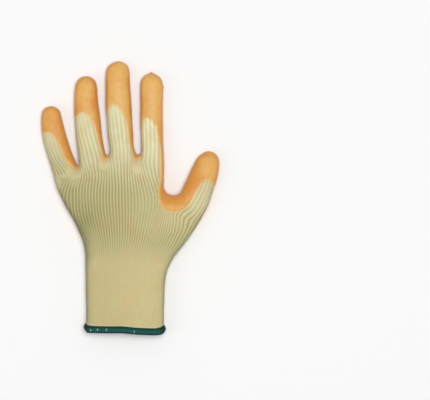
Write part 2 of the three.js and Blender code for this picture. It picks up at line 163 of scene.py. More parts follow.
KNUCKLES = [
    KnuckleRow((-66.3, 9.9), (31.3, 13.4), 22.6, 0, 0.3, 0.1),
    KnuckleRow((-68.5, 17.4), (31.2, 21.4), 21.7, 0, 1, 0.45),
    KnuckleRow((-70.8, 25.6), (31.4, 31), 19.8, 0, 2.4, 1),
]
Crotch = namedtuple("Crotch", "at half")
CROTCHES = [Crotch((-47.2, 31.2), 1.1), Crotch((-20.3, 39.7), 1.5), Crotch((7.9, 39.8), 2.1)]
WEB_ROOT_BELOW = 6
WEB_ROOT_HALF = 3.2
WEB_RISE = 0.9
THUMB_CROTCH = [(32.4, 9.4), (38.6, 3.2), (45.4, 7)]
print("rings of the hand", len(HAND), "and of the knuckles", len(KNUCKLES))

# %% Fingers
Ring = namedtuple("Ring", "at half top palm")
FINGERS = {
    "little": [
        Ring((-63.2, 38.1), 11.1, 16, 0.3),
        Ring((-66.7, 49), 11.1, 14.6, 0.6),
        Ring((-69.3, 59.4), 10.6, 14, 0.7),
        Ring((-71.1, 69.8), 9.8, 13.4, 0.3),
        Ring((-71.7, 77), 8.8, 12.2, 0.6),
        Ring((-71.4, 81.4), 6.9, 10.2, 2),
    ],
    "ring": [
        Ring((-35.5, 46), 12, 17, 0.3),
        Ring((-37.1, 56.5), 11.9, 15.8, 0.7),
        Ring((-38.2, 68.5), 11.8, 15.2, 0.9),
        Ring((-39.5, 82.5), 11.3, 14.8, 0.6),
        Ring((-40.1, 95), 10.6, 14, 0.1),
        Ring((-39.7, 103.8), 9.7, 13, 0.5),
        Ring((-38.9, 108.9), 7, 10.6, 2.2),
    ],
    "middle": [
        Ring((-7.1, 46), 11, 17.2, 0.3),
        Ring((-8.2, 56.5), 11.5, 16.2, 0.8),
        Ring((-9.2, 70), 11.6, 15.6, 1),
        Ring((-10.1, 85.3), 11.8, 15.2, 0.8),
        Ring((-10.7, 100.5), 11.3, 14.6, 0.2),
        Ring((-11, 111.7), 11.1, 13.8, 0.1),
        Ring((-10.5, 118.6), 10.1, 12.4, 0.8),
        Ring((-10, 122.6), 7.1, 10.4, 2.4),
    ],
    "index": [
        Ring((20.7, 46), 10.2, 17, 0.3),
        Ring((20.4, 57.5), 10.3, 15.8, 0.7),
        Ring((20, 71.7), 10.3, 15.2, 0.9),
        Ring((20, 86.5), 10.3, 14.6, 0.6),
        Ring((20, 100.5), 10.5, 14, 0.1),
        Ring((19.7, 108), 9.5, 12.8, 0.6),
        Ring((19.6, 112), 6.4, 10.4, 2.2),
    ],
    "thumb": [
        Ring((63.4, 10.4), 13.4, 19.5, 0.2),
        Ring((67.7, 21.8), 12.7, 17, 0.4),
        Ring((70.8, 31.3), 11.3, 15, 0.4),
        Ring((72.1, 37), 9.6, 13.4, 0.9),
        Ring((72.3, 40.6), 6.7, 10.8, 2.4),
    ],
}
TIPS = {
    "little": (-71.2, 84.4, 6.1),
    "ring": (-38.7, 111.8, 6.4),
    "middle": (-10.2, 125.3, 6.4),
    "index": (19.7, 114.4, 6.3),
    "thumb": (72.3, 43.4, 6.6),
}
FINGER_SECTION = [(-0.8, 0.64), (-0.29, 0.97), (0.29, 0.97), (0.8, 0.64)]  # across, up
FINGER_PALM_FLATTENING = 1.1
print("rings of the fingers", sum(len(rings) for rings in FINGERS.values()))

# %% [markdown]
# ## The smooth surface
# A subdivision cage is the quickest way to a smooth hand. It starts as a circle at the cuff. Extruding the
# ring of edges again and again, and moving each new ring to its place in the table, gives a tube, as the
# knitting machine does. At the thumb and at each finger the ring is divided by a narrow strip, the web, and
# the extruding goes on round each smaller ring. Sculpting would be freer, but a table can be measured and
# corrected. The UV map counts wales (the columns of stitches) across and millimetres along, so that ribs,
# stitches and colours can follow the knitting.

# %% Places of the rings
def plan_place(x, y, z):
    """A point of the tables, in metres, in the frame."""
    return Vector(((x - CENTRE[0]) * MM, (y - CENTRE[1]) * MM, z * MM))


def between(a, b, share):
    """The place that far on the way from a to b."""
    return tuple(p + (q - p) * share for p, q in zip(a, b))


def evenly(start, end, count):
    """Points from start towards end, without the last."""
    return [between(start, end, i / count) for i in range(count)]


def hand_height(row, x, side):
    """Height of the back (side 1) or palm (side -1), at x from -1 to 1 across the hand."""
    edge = row.palm + EDGE_SHARE * (row.top - row.palm)
    squareness = BACK_SQUARENESS if side > 0 else PALM_SQUARENESS
    rise = (1 - abs(x) ** squareness) ** (1 / squareness)
    if side > 0:
        return edge + (row.top - edge) * rise
    return max(row.palm, edge - (edge - row.palm) * PALM_FLATTENING * rise)


def ring_places(plan, row, drop):
    """The ring as one loop: left edge, over the back, right edge, and back under the palm."""
    last = len(plan) - 1
    edge = row.palm + EDGE_SHARE * (row.top - row.palm)
    across = [EDGE_COLUMN * (2 * i / last - 1) for i in range(last + 1)]
    back = [plan_place(*p, hand_height(row, x, 1) - drop[i]) for i, (p, x) in enumerate(zip(plan, across))]
    palm = [plan_place(*p, hand_height(row, x, -1)) for p, x in zip(plan, across)]
    return [plan_place(*row.left, edge), *back, plan_place(*row.right, edge), *reversed(palm)]


def hand_places(row):
    """The ring at a row of the hand."""
    inset = (1 - EDGE_COLUMN) / 2
    first, final = between(row.left, row.right, inset), between(row.right, row.left, inset)
    plan = evenly(first, row.index, PALM_COLUMNS) + evenly(row.index, row.thumb, WEB_COLUMNS)
    plan += evenly(row.thumb, final, FINGER_COLUMNS) + [final]
    return ring_places(plan, row, [0] * len(plan))


WEB_STARTS = [FINGER_COLUMNS + i * (FINGER_COLUMNS + WEB_COLUMNS) for i in range(len(CROTCHES))]


def knuckle_places(row):
    """The ring at a row above the thumb, drawn in towards the webs between the fingers."""
    inset = (1 - EDGE_COLUMN) / 2
    first, final = between(row.left, row.right, inset), between(row.right, row.left, inset)
    even = evenly(first, final, PALM_COLUMNS) + [final]
    knots = [(0, first), (PALM_COLUMNS, final)]
    for start, crotch in zip(WEB_STARTS, CROTCHES):
        for column, side in ((start, -1), (start + WEB_COLUMNS, 1)):
            drawn = (crotch.at[0] + side * WEB_ROOT_HALF, crotch.at[1] - WEB_ROOT_BELOW)
            knots.append((column, between(even[column], drawn, row.drawn_in)))
    knots.sort()
    plan = []
    for (column, place), (next_column, next_place) in zip(knots, knots[1:]):
        plan += evenly(place, next_place, next_column - column)
    plan.append(final)
    near_web = [max(max(0, 1 - abs(i - start - 1) / 2) for start in WEB_STARTS) for i in range(len(plan))]
    return ring_places(plan, row, [row.valley * share for share in near_web])


def finger_places(name, i):
    """The ring at a row of a finger, square to the finger."""
    rows, tip = FINGERS[name], TIPS[name]
    ring = rows[i]
    before = rows[i - 1].at if i else ring.at
    after = rows[i + 1].at if i + 1 < len(rows) else tip[:2]
    along = Vector((after[0] - before[0], after[1] - before[1])).normalized()
    edge = ring.palm + EDGE_SHARE * (ring.top - ring.palm)

    def at(across, height):
        reach = ring.half * across
        return plan_place(ring.at[0] + along.y * reach, ring.at[1] - along.x * reach, height)

    back = [at(across, edge + (ring.top - edge) * up) for across, up in FINGER_SECTION]
    drop = (edge - ring.palm) * FINGER_PALM_FLATTENING
    palm = [at(across, max(ring.palm, edge - drop * up)) for across, up in FINGER_SECTION]
    return [at(-1, edge), *back, at(1, edge), *reversed(palm)]


# %% Extruding rings and strips
WALES_PER_COLUMN = 2
cage = bmesh.new()
knit_map = cage.loops.layers.uv.new("knit")


def edge_of(a, b):
    """The edge between two vertices."""
    return next(e for e in a.link_edges if e.other_vert(a) is b)


def extrude(bm, chain, closed):
    """Extrudes a chain of vertices, and gives the new ones in the same order."""
    pairs = list(zip(chain, chain[1:] + chain[:1] if closed else chain[1:]))
    made = bmesh.ops.extrude_edge_only(bm, edges=[edge_of(a, b) for a, b in pairs])["geom"]
    fresh = {v for v in made if isinstance(v, bmesh.types.BMVert)}
    return [next(e.other_vert(v) for e in v.link_edges if e.other_vert(v) in fresh) for v in chain]


def lay_map(low, high, wales, courses):
    """Gives the faces between two chains their places on the knitting: wales across, millimetres along."""
    for k, (start, end) in enumerate(wales):
        a, b = low[k], low[(k + 1) % len(low)]
        c, d = high[(k + 1) % len(high)], high[k]
        places = {a: (start, courses[0]), b: (end, courses[0]), c: (end, courses[1]), d: (start, courses[1])}
        face = next(f for f in a.link_faces if {a, b, c, d} == set(f.verts))
        for loop in face.loops:
            loop[knit_map].uv = places[loop.vert]


def ring_wales(first, last):
    """The wale numbers at the two ends of each edge of a ring that holds the columns first to last."""
    w = WALES_PER_COLUMN
    over = [(w * c, w * (c + 1)) for c in range(first - 1, last + 1)]
    return over + [(-w * (c + 1), -w * c) for c in range(last, first - 2, -1)]


def grow_ring(ring, places, columns, courses):
    """Extrudes a ring of the cage to new places."""
    fresh = extrude(cage, ring, closed=True)
    for vertex, place in zip(fresh, places):
        vertex.co = place
    lay_map(ring, fresh, ring_wales(*columns), courses)
    return fresh


def grow_strip(chain, ends, places, column, courses):
    """Extrudes an open chain. Ends that are given are existing vertices, which the new ones join."""
    fresh = extrude(cage, chain, closed=False)
    for vertex, place in zip(fresh, places):
        vertex.co = place
    joined = {new: old for new, old in zip(fresh, ends) if old}
    bmesh.ops.weld_verts(cage, targetmap=joined)
    row = [old or new for new, old in zip(fresh, ends)]
    w = WALES_PER_COLUMN
    lay_map(chain, row, [(w * (column + k), w * (column + k + 1)) for k in range(len(chain) - 1)], courses)
    return row


# %% From the cuff to the thumb
def middle_distance(low, high):
    """How far two rows of places are apart, on average, in millimetres."""
    return sum((a - b).length for a, b in zip(low, high)) / len(low) / MM


places = hand_places(HAND[0])
bmesh.ops.create_circle(cage, segments=len(places), radius=1)
cage.verts.ensure_lookup_table()
ring = list(cage.verts)
for vertex, place in zip(ring, places):
    vertex.co = place
last_column = PALM_COLUMNS + WEB_COLUMNS + FINGER_COLUMNS
course = 0.0
for row in HAND[1:]:
    new_places = hand_places(row)
    new_course = course + middle_distance(places, new_places)
    ring = grow_ring(ring, new_places, (0, last_column), (course, new_course))
    places, course = new_places, new_course
print("hand", len(cage.faces), "faces, courses to", round(course), "mm")


# %% Webs and fingers
def halves(ring, count):
    """The left edge, the back's columns, the right edge and the palm's columns of a ring."""
    return ring[0], ring[1 : count + 2], ring[count + 2], list(reversed(ring[count + 3 :]))


def web(back, palm, places, column, course):
    """The strip between two fingers: from the back over a middle row to the palm."""
    depth = WEB_ROOT_BELOW
    middle = grow_strip(back, [None] * len(back), places, column, (course, course + depth))
    grow_strip(middle, palm, [v.co for v in palm], column, (course + depth, course))
    return middle


TIP_SHARES = (1 / 3, 2 / 3)
TIP_BULGE = 0.9


def finger(name, left, back, right, palm, column, course):
    """A finger from its root ring to its closed tip."""
    ring = [left, *back, right, *reversed(palm)]
    places = [v.co.copy() for v in ring]
    for i in range(len(FINGERS[name])):
        new_places = finger_places(name, i)
        new_course = course + middle_distance(places, new_places)
        ring = grow_ring(ring, new_places, (column, column + FINGER_COLUMNS), (course, new_course))
        places, course = new_places, new_course
    left, back, right, palm = halves(ring, FINGER_COLUMNS)
    tip = plan_place(*TIPS[name])
    centre = (left.co + right.co) / 2
    crown = [left.co.lerp(right.co, share) for share in TIP_SHARES]
    crown = [p.lerp(tip + (p - centre), TIP_BULGE) for p in crown]
    reach = (tip - centre).length / MM
    ends, places = [left, None, None, right], [left.co, *crown, right.co]
    row = grow_strip(back, ends, places, column, (course, course + reach))
    grow_strip(row, palm, [v.co for v in palm], column, (course + reach, course))


edge_height = HAND[-1].palm + EDGE_SHARE * (HAND[-1].top - HAND[-1].palm)
left, back, right, palm = halves(ring, last_column)
thumb_first = PALM_COLUMNS + WEB_COLUMNS
thumb_web = web(
    back[PALM_COLUMNS : thumb_first + 1],
    palm[PALM_COLUMNS : thumb_first + 1],
    [plan_place(*at, edge_height) for at in THUMB_CROTCH],
    PALM_COLUMNS,
    course,
)
finger("thumb", thumb_web[-1], back[thumb_first:], right, palm[thumb_first:], thumb_first, course)

ring = [left, *back[: PALM_COLUMNS + 1], thumb_web[0], *reversed(palm[: PALM_COLUMNS + 1])]
places = [v.co.copy() for v in ring]
for row in KNUCKLES:
    new_places = knuckle_places(row)
    new_course = course + middle_distance(places, new_places)
    ring = grow_ring(ring, new_places, (0, PALM_COLUMNS), (course, new_course))
    places, course = new_places, new_course

left, back, right, palm = halves(ring, PALM_COLUMNS)
edge_height = EDGE_SHARE * KNUCKLES[-1].top  # the last row's palm is at height 0
webs = []
for start, crotch in zip(WEB_STARTS, CROTCHES):
    x, y, reach = *crotch.at, crotch.half
    spread = [(x - reach, y + reach * WEB_RISE), (x, y), (x + reach, y + reach * WEB_RISE)]
    stop = start + WEB_COLUMNS + 1
    row = [plan_place(*at, edge_height) for at in spread]
    webs.append(web(back[start:stop], palm[start:stop], row, start, course))
for i, name in enumerate(("little", "ring", "middle", "index")):
    first = i * (FINGER_COLUMNS + WEB_COLUMNS)
    stop = first + FINGER_COLUMNS + 1
    near = webs[i - 1][-1] if i else left
    far = webs[i][0] if i < len(webs) else right
    finger(name, near, back[first:stop], far, palm[first:stop], first, course)
bmesh.ops.recalc_face_normals(cage, faces=cage.faces)
print("cage", len(cage.faces), "faces, open edges", sum(e.is_boundary for e in cage.edges))


# %% [markdown]
# A subdivision surface shrinks away from its cage. To make it pass through the table's places, the cage is
# moved out by as much as the smooth surface falls short, a few times over.

# %% Fitting the subdivision to the places
def subdivided(source, levels):
    """A mesh smoothed by a subdivision surface of that many levels, as a mesh of its own."""
    holder = new_object("smoothing", source)
    smoothing = holder.modifiers.new("smooth", "SUBSURF")
    smoothing.levels = smoothing.render_levels = levels
    smoothing.uv_smooth = "NONE"
    evaluated = holder.evaluated_get(bpy.context.evaluated_depsgraph_get())
    made = bpy.data.meshes.new_from_object(evaluated)
    bpy.data.objects.remove(holder)
    return made


def coordinates(mesh, kind="co"):
    """The places of a mesh's vertices, or with the kind "normal" their outward directions."""
    flat = np.empty(len(mesh.vertices) * 3)
    mesh.vertices.foreach_get(kind, flat)
    return flat.reshape(-1, 3)


def move_to(mesh, points):
    """Moves a mesh's vertices to the points."""
    mesh.vertices.foreach_set("co", np.ascontiguousarray(points, dtype=np.float32).ravel())
    mesh.update()


FIT_LEVELS = 2
FIT_ROUNDS = 6
cage_mesh = bpy.data.meshes.new("cage")
cage.to_mesh(cage_mesh)
cage.free()
wanted = coordinates(cage_mesh)
for _ in range(FIT_ROUNDS):
    smooth = subdivided(cage_mesh, FIT_LEVELS)
    shortfall = wanted - coordinates(smooth)[: len(wanted)]
    furthest = float(np.linalg.norm(shortfall, axis=1).max())
    print("surface misses the places by up to", round(furthest / MM, 2), "mm")
    move_to(cage_mesh, coordinates(cage_mesh) + shortfall)

# %% The finished surface
FINE_LEVELS = 3
COARSE_LEVELS = 1
fine = subdivided(cage_mesh, FINE_LEVELS)
coarse = subdivided(cage_mesh, COARSE_LEVELS)
base = coordinates(fine)
base[:, 2] = np.maximum(base[:, 2], 0)
move_to(fine, base)
print("points of the fine surface", len(base))


# %% Softer folds
def in_plan(points):
    """Where points of the frame lie in the tables' plan, in millimetres."""
    return points[:, :2] / MM + np.array(CENTRE)


def away_from(at, reach, plan):
    """How far points in plan are from a place, as a share of a reach or of half a width and length."""
    return np.linalg.norm((plan - np.array(at)) / np.array(reach), axis=1)


def evened(mesh, values, rounds):
    """Values of the vertices, each time drawn halfway towards the average of their neighbours'."""
    ends = np.empty(len(mesh.edges) * 2, int)
    mesh.edges.foreach_get("vertices", ends)
    a, b = ends[::2], ends[1::2]
    count = np.bincount(ends, minlength=len(values))
    for _ in range(rounds):
        total = np.bincount(a, values[b], len(values)) + np.bincount(b, values[a], len(values))
        values = (values + total / count) / 2
    return values


# The surface bends sharply where webs and fingers meet, so it is evened out there.
SMOOTH_ROUNDS = 40
SMOOTH_PLACES = [
    ((-48, 25), 6.5), ((-20.5, 32), 5.5), ((8, 32), 5.5), ((33, 9), 6.5), ((47, 6), 5),
    ((33.5, -4), 5.5), ((41.5, -6.5), 6.5),
]
evened_base = np.column_stack([evened(fine, base[:, axis], SMOOTH_ROUNDS) for axis in range(3)])
for centre, reach in SMOOTH_PLACES:
    share = np.exp(-(away_from(centre, reach, in_plan(base)) ** 4))
    base += (evened_base - base) * share[:, None]
print("places evened out", len(SMOOTH_PLACES))

# %% The cuff's end
# The cuff's end isn't quite straight: places across it, and how far the end is above a straight line there.
CUFF_END = [
    (-40.2, 2.4), (-38.5, 1), (-35, 0.7), (-17, 1.05), (-8, 1.4), (-3, 1.25), (2, 0.9), (7, 0.55),
    (15, 0.45), (24, 0.45), (29, 1.3), (31.4, 3),
]
CUFF_END_REACH_MM = 14


def above_cut(points):
    """How far points are above a straight line across the cuff's end, in millimetres."""
    x, y = in_plan(points).T
    return y - np.interp(x, *zip(HAND[0].left, HAND[0].right))


def with_cuff_end(points):
    """The points, of which those near the cuff's end follow its line."""
    lifted = points.copy()
    near = np.clip(1 - above_cut(points) / CUFF_END_REACH_MM, 0, 1) ** 2
    lifted[:, 1] += np.interp(in_plan(points)[:, 0], *zip(*CUFF_END)) * near * MM
    return lifted


base = with_cuff_end(base)
move_to(fine, base)
move_to(coarse, with_cuff_end(coordinates(coarse)))
outward = coordinates(fine, "normal")
facing_up = outward[:, 2]
plan_mm = in_plan(base)
plan_x, plan_y = plan_mm.T
print("fine surface", len(fine.polygons), "faces; coarse surface", len(coarse.polygons))

# %% [markdown]
# ## Where the latex ends
# The glove is pressed palm first into liquid latex on a hand-shaped former. It covers the palm and the
# fingertips, and creeps up the thumb side of each finger. On the back it ends under each nail in a round
# arch, and on the palm in a lip across the wrist. One number for each point of the surface says how far that
# point is from the latex's edge, in millimetres: positive where the knit is bare, negative under the latex.
# The edge could be cut with a knife tool instead, but a number also tells how near the edge a point is, and
# the finishes use that to fade one into the other.

# %% The latex's edge
Arch = namedtuple("Arch", "finger gap edge")
ARCHES = [
    Arch("little", [(-84, 58.5)], [
        (-79.8, 59), (-75, 60.3), (-71.4, 59.6), (-67.6, 55), (-64, 48), (-61, 41), (-57.9, 33),
        (-56.6, 29.8),
    ]),
    Arch("ring", [(-49, 30), (-47.2, 34), (-47.4, 38), (-48.8, 46), (-50.4, 56), (-51.6, 64)], [
        (-51.4, 69.7), (-47.6, 75.4), (-42.6, 78.6), (-38.3, 76.2), (-34.5, 70.8), (-31.4, 63),
        (-29.6, 54), (-26.6, 44),
    ]),
    Arch("middle", [(-20.6, 37.5), (-19.2, 41), (-19.5, 46), (-21.1, 57)], [
        (-21.6, 66), (-21.1, 77), (-18.4, 83.6), (-14.4, 85.4), (-10, 82.9), (-6, 76), (-3.1, 68),
        (-1.3, 59), (0.5, 48), (2.6, 41),
    ]),
    Arch("index", [(7.8, 37.5), (9.3, 41), (9.2, 47), (9, 52)], [
        (9.8, 57), (10.8, 62), (12.3, 68), (14.2, 73.2), (17.4, 73), (21.1, 70.6), (23.7, 65),
        (25.2, 59.5), (27.2, 50), (27.7, 42), (27.8, 25), (27.2, 15),
    ]),
    Arch("thumb", [], [
        (25.7, 8), (27.2, 0), (30, -8.1), (36.3, -12), (43, -11.8), (49.6, -9), (55.4, -3.1),
        (60.8, 6.3), (66.2, 13.3), (70.6, 17.8), (73.2, 15.2), (75.8, 11.8), (80, 8),
    ]),
]
CROTCH_PATCHES = [((-49.2, 31), 3.9), ((-22.2, 39.2), 3.8), ((6.8, 39.8), 4.5)]
SIDE_HEIGHT = 7.2  # on the glove's sides the latex ends this high, and lower towards the fingertips
SIDE_FALL = 0.045
ACROSS_PALM = [
    (-70, 2), (-63, -6.5), (-55.5, -20), (-43, -35.5), (-29, -41.6), (-8, -44.3),
    (15, -45), (33, -43.6), (44, -35.5), (57, -26.5), (72, -17),
]
FAR = 150
print("points along the arches", sum(len(arch.edge) for arch in ARCHES))


# %% Distance from the edge
def smooth_line(points, steps):
    """Points along a curve that passes smoothly through the given ones."""
    line = []
    for i in range(len(points) - 1):
        p0, p1, p2, p3 = (Vector(points[min(max(k, 0), len(points) - 1)]) for k in range(i - 1, i + 3))
        for step in range(steps):
            t = step / steps
            bend = (p2 - p0) * t + (2 * p0 - 5 * p1 + 4 * p2 - p3) * t**2
            bend += (3 * p1 - p0 - 3 * p2 + p3) * t**3
            line.append(p1 + bend / 2)
    return [tuple(p) for p in line] + [points[-1]]


def distance_inside(points, outline):
    """How far each plan point is inside a closed outline, negative outside."""
    corners = np.array(outline)
    nearest = np.full(len(points), np.inf)
    inside = np.zeros(len(points), bool)
    for start, end in zip(corners, np.roll(corners, -1, axis=0)):
        along = end - start
        share = np.clip((points - start) @ along / (along @ along), 0, 1)
        nearest = np.minimum(nearest, np.linalg.norm(points - start - share[:, None] * along, axis=1))
        if start[1] != end[1]:
            crossing = start[0] + (points[:, 1] - start[1]) * along[0] / along[1]
            inside ^= ((start[1] > points[:, 1]) != (end[1] > points[:, 1])) & (points[:, 0] < crossing)
    return np.where(inside, nearest, -nearest)


ARCH_STEPS = 4
WRIST_STEPS = 3
BACK_LEFT_Y, BACK_RIGHT_Y = 58, 9  # how high the two lines go on to the left and to the right of the glove
WRIST_LEFT_Y, WRIST_RIGHT_Y = 2, -17
arch_line = [p for arch in ARCHES for p in arch.gap + smooth_line(arch.edge, ARCH_STEPS)]
back_outline = [(-FAR, -FAR), (-FAR, BACK_LEFT_Y), *arch_line, (FAR, BACK_RIGHT_Y), (FAR, -FAR)]
wrist_line = smooth_line(ACROSS_PALM, WRIST_STEPS)
wrist_outline = [(-FAR, -FAR), (-FAR, WRIST_LEFT_Y), *wrist_line, (FAR, WRIST_RIGHT_Y), (FAR, -FAR)]
over_back = distance_inside(plan_mm, back_outline)
for at, reach in CROTCH_PATCHES:
    over_back = np.minimum(over_back, away_from(at, 1, plan_mm) - reach)
over_wrist = distance_inside(plan_mm, wrist_outline)
above_side = base[:, 2] / MM - SIDE_HEIGHT + SIDE_FALL * plan_y
WANDER_SCALE = 90  # per metre
WANDER_MM = 0.7
EDGE_ROUNDS = 6
wander = np.array([noise.noise(Vector(p) * WANDER_SCALE) for p in base]) * WANDER_MM
bare_mm = np.maximum(np.minimum(over_back, above_side), over_wrist) + wander
bare_mm = evened(fine, bare_mm, EDGE_ROUNDS)
print("latex covers", int((bare_mm < 0).mean() * 100), "% of the surface's points")

# %% [markdown]
# ## The knitted liner
# The liner is knitted in one piece, and its ribs are the wales, the columns of stitches. They stand out on
# the fingers, where the yarn is bulky, and fade towards the cuff, where an elastic thread draws them
# together. They could be a bump in the material, but a bump leaves the outline smooth. Here they are real
# relief: the points of the fine surface fall on the tops, slopes and grooves of the wales, four to a wale, so
# moving the grooves in gives clean ribs. A smooth patch under each finger crotch has no ribs, because the
# machine joins the fingers there.

# %% Wales on the hand
# Some wales by number, and where each passes on its way up the back. They run straight up the cuff, spread
# over the hand, step sideways into the thumb, and fan out under the fingers.
WALE_Y = (-52, -40, -30, -20, -10, 0, 10, 20, 30, 40)
WALE_X = {  # at each of those heights
    3: (-45, -48, -53.5, -58.5, -61.3, -63.6, -61, -56.5, -51),
    7: (-37.3, -40, -43, -47.2, -49.6, -49.8, -49.4, -46.9, -48),
    11: (-29.6, -30.8, -33.3, -36.3, -38, -38.8, -38.7, -37.4, -39.9, -41.7),
    16: (-20, -20.5, -21.6, -23.3, -24.5, -25.1, -24.7, -23.7, -24.5, -26.5),
    20: (-12.4, -12, -12.1, -12.6, -13.2, -13.9, -13.8, -14.6, -15.4, -17.5),
    23: (-6.5, -5.4, -4.8, -4.7, -4.8, -5.1, -5.2, -5.7, -6, -6.9),
    25: (-2.4, -1, 0.1, 0.4, 0.6, 0.4, 0.1, -0.3, -0.1, 0.2),
    29: (5.4, 7.4, 8.9, 11, 12.2, 12.4, 10.8, 8.7, 7, 7),
    32: (11.4, 14.4, 16.8, 19.2, 21.2, 22.2, 19.8, 16.4, 14, 13.6),
    34: (15.5, 18.7, 21.2, 24.1, 26, 27.4, 25.8, 22.8, 21.2, 20.4),
    37: (21.4, 24.8, 28.2, 30.5, 32.3, 36, 34, 32.2, 32),
}
THUMB_WALES = {  # these bend at places of their own
    41: [(29.3, -52), (32.7, -40), (37, -30), (38.5, -20), (38.8, -12), (42, -6), (48, 0)],
    43: [
        (33.2, -52), (37.8, -40), (42.8, -30), (44.4, -20), (44.5, -16), (46, -12.7), (48.4, -10.6),
        (53.4, -7.5), (55.3, -5.5), (58.4, 0), (62.4, 8), (66.6, 16),
    ],
    44: [
        (35.2, -52), (40.7, -40), (45.9, -30), (47.6, -20), (47.7, -16.8), (50.2, -13.6), (54.5, -10.6),
        (56.4, -9), (59.7, -3.9), (62.1, 0), (66.2, 8), (69.3, 16),
    ],
    45: [
        (37.2, -52), (44.2, -40), (49.4, -30), (51.6, -20), (53, -17.4), (57, -15), (58.6, -13.6),
        (61.8, -8.7), (64.6, -3.8), (66.6, 0), (70.2, 8), (72.1, 16),
    ],
    46: [
        (39.2, -52), (47.4, -40), (52.8, -30), (57.6, -20), (60.4, -16.6), (63.2, -12.2), (66.4, -7.7),
        (68.3, -3.5), (70, 0), (73.5, 8), (75, 16),
    ],
    48: [(43, -52), (53, -40), (58.5, -30), (64.5, -20), (70.5, -10), (75, 0), (78, 10), (79, 16)],
}
WALE_LINES = {number: list(zip(across, WALE_Y)) for number, across in WALE_X.items()} | THUMB_WALES
CUFF_WALE = 25
CUFF_WALE_X = -2.3
CUFF_PITCH = 1.93
CUFF_BOTTOM_Y, CUFF_TOP_Y = -125, -66
WALE_STEPS = 12
LINE_STEP = 0.2
BEYOND_WALES = 40  # the numbers go on past the tabled wales by this many, at the hand's pitch
HAND_PITCH = 2.7
row_y = np.arange(CUFF_BOTTOM_Y, WALE_Y[-1], LINE_STEP)
wale_x = []
for number, line in WALE_LINES.items():
    on_cuff = CUFF_WALE_X + CUFF_PITCH * (number - CUFF_WALE)
    line = [(on_cuff, CUFF_BOTTOM_Y), (on_cuff, CUFF_TOP_Y), *line]
    across, along = zip(*smooth_line(line, WALE_STEPS))
    wale_x.append(np.interp(row_y, along, across))
wale_x = np.array(wale_x)
numbers = [min(WALE_LINES) - BEYOND_WALES, *WALE_LINES, max(WALE_LINES) + BEYOND_WALES]
beyond_mm = BEYOND_WALES * HAND_PITCH
row_of = np.clip((plan_y - row_y[0]) / LINE_STEP, 0, len(row_y) - 1).round().astype(int)
placed = np.empty(len(base))
for row in np.unique(row_of):
    here = row_of == row
    ends = [wale_x[0, row] - beyond_mm, *wale_x[:, row], wale_x[-1, row] + beyond_mm]
    placed[here] = np.interp(plan_x[here], ends, numbers)
print("the back's wales are placed by", len(WALE_LINES), "lines")


# %% Wales on the fingers
def smoothstep(start, end, values):
    """0 to 1 as the values go from start to end, softly."""
    share = np.clip((values - start) / (end - start), 0, 1)
    return share * share * (3 - 2 * share)


# The numbers hold up to the fingers' roots, where those of the UV map take over.
towards_thumb = smoothstep(28, 36, plan_x)
on_little = 1 - smoothstep(-54, -47, plan_x)
on_middle = smoothstep(-22, -19, plan_x) * smoothstep(10, 8, plan_x)
ROOT_Y = 36  # where the ring and the index finger take over, and the others by so much sooner or later
LITTLE_SOONER, THUMB_SOONER, MIDDLE_LATER = 15, 11, 12
TAKEOVER_MM = 11
TAKEOVER_LITTLE_MM = 4
placed_until = ROOT_Y - LITTLE_SOONER * on_little - THUMB_SOONER * towards_thumb + MIDDLE_LATER * on_middle
takeover = TAKEOVER_MM + (TAKEOVER_LITTLE_MM - TAKEOVER_MM) * on_little
placed_share = 1 - smoothstep(placed_until - takeover, placed_until, plan_y)
LITTLE_FINGER_SLANT = 1.7
slant = LITTLE_FINGER_SLANT * on_little * (1 - smoothstep(21, 38, plan_y))
Twist = namedtuple("Twist", "left right turned")
TWISTS = [  # the ribs lean over on two fingers: between two lines, by how many wales at a height
    Twist([(30, -47), (85, -57)], [(40, -20.5), (90, -25)], [(36, 0), (80, 1.6)]),
    Twist([(40, -20.5), (90, -25)], [(40, 8), (90, 4)], [(36, 0), (44, 0.1), (58, 0.1), (75, 0.3)]),
]
for twist in TWISTS:
    left_x, right_x = (np.interp(plan_y, *zip(*line)) for line in (twist.left, twist.right))
    slant -= np.interp(plan_y, *zip(*twist.turned)) * ((plan_x > left_x) & (plan_x < right_x))
MAP_WALES = [-20, 6, 10, 16, 20, 26, 30, 36, 40, 60]  # on the fingers' backs, as the UV map numbers them
COUNTED_WALES = [-20, 6, 10.6, 15.8, 20.3, 25.5, 31.65, 36.1, 40, 60]  # and as they are on the glove
print("wales lean by up to", round(float(np.abs(slant).max()), 1), "wales")


# %% Numbering the wales on the map
def read_map(mesh):
    """The corners of the UV map, and the vertex at each corner."""
    corners = np.empty(len(mesh.loops) * 2)
    mesh.uv_layers["knit"].data.foreach_get("uv", corners)
    owners = np.empty(len(mesh.loops), int)
    mesh.loops.foreach_get("vertex_index", owners)
    return corners.reshape(-1, 2), owners


corners, owners = read_map(fine)
face_sides = [1 if p.normal.z > 0 else -1 for p in fine.polygons]  # the palm's numbers are negative
side = np.repeat(face_sides, [p.loop_total for p in fine.polygons])
wale = np.interp(corners[:, 0] * side, MAP_WALES, COUNTED_WALES)
wale -= slant[owners]
wale += (placed[owners] - wale) * placed_share[owners]
corners[:, 0] = wale * side
fine.uv_layers["knit"].data.foreach_set("uv", corners.ravel())
wales = np.empty(len(base))
wales[owners] = wale
print("wales from", round(float(wales.min())), "to", round(float(wales.max())))


# %% Ribs and smooth patches
def near(at, reach, power=2):
    """1 at a place of the plan, falling to 0 round it."""
    return np.exp(-(away_from(at, reach, plan_mm) ** power))


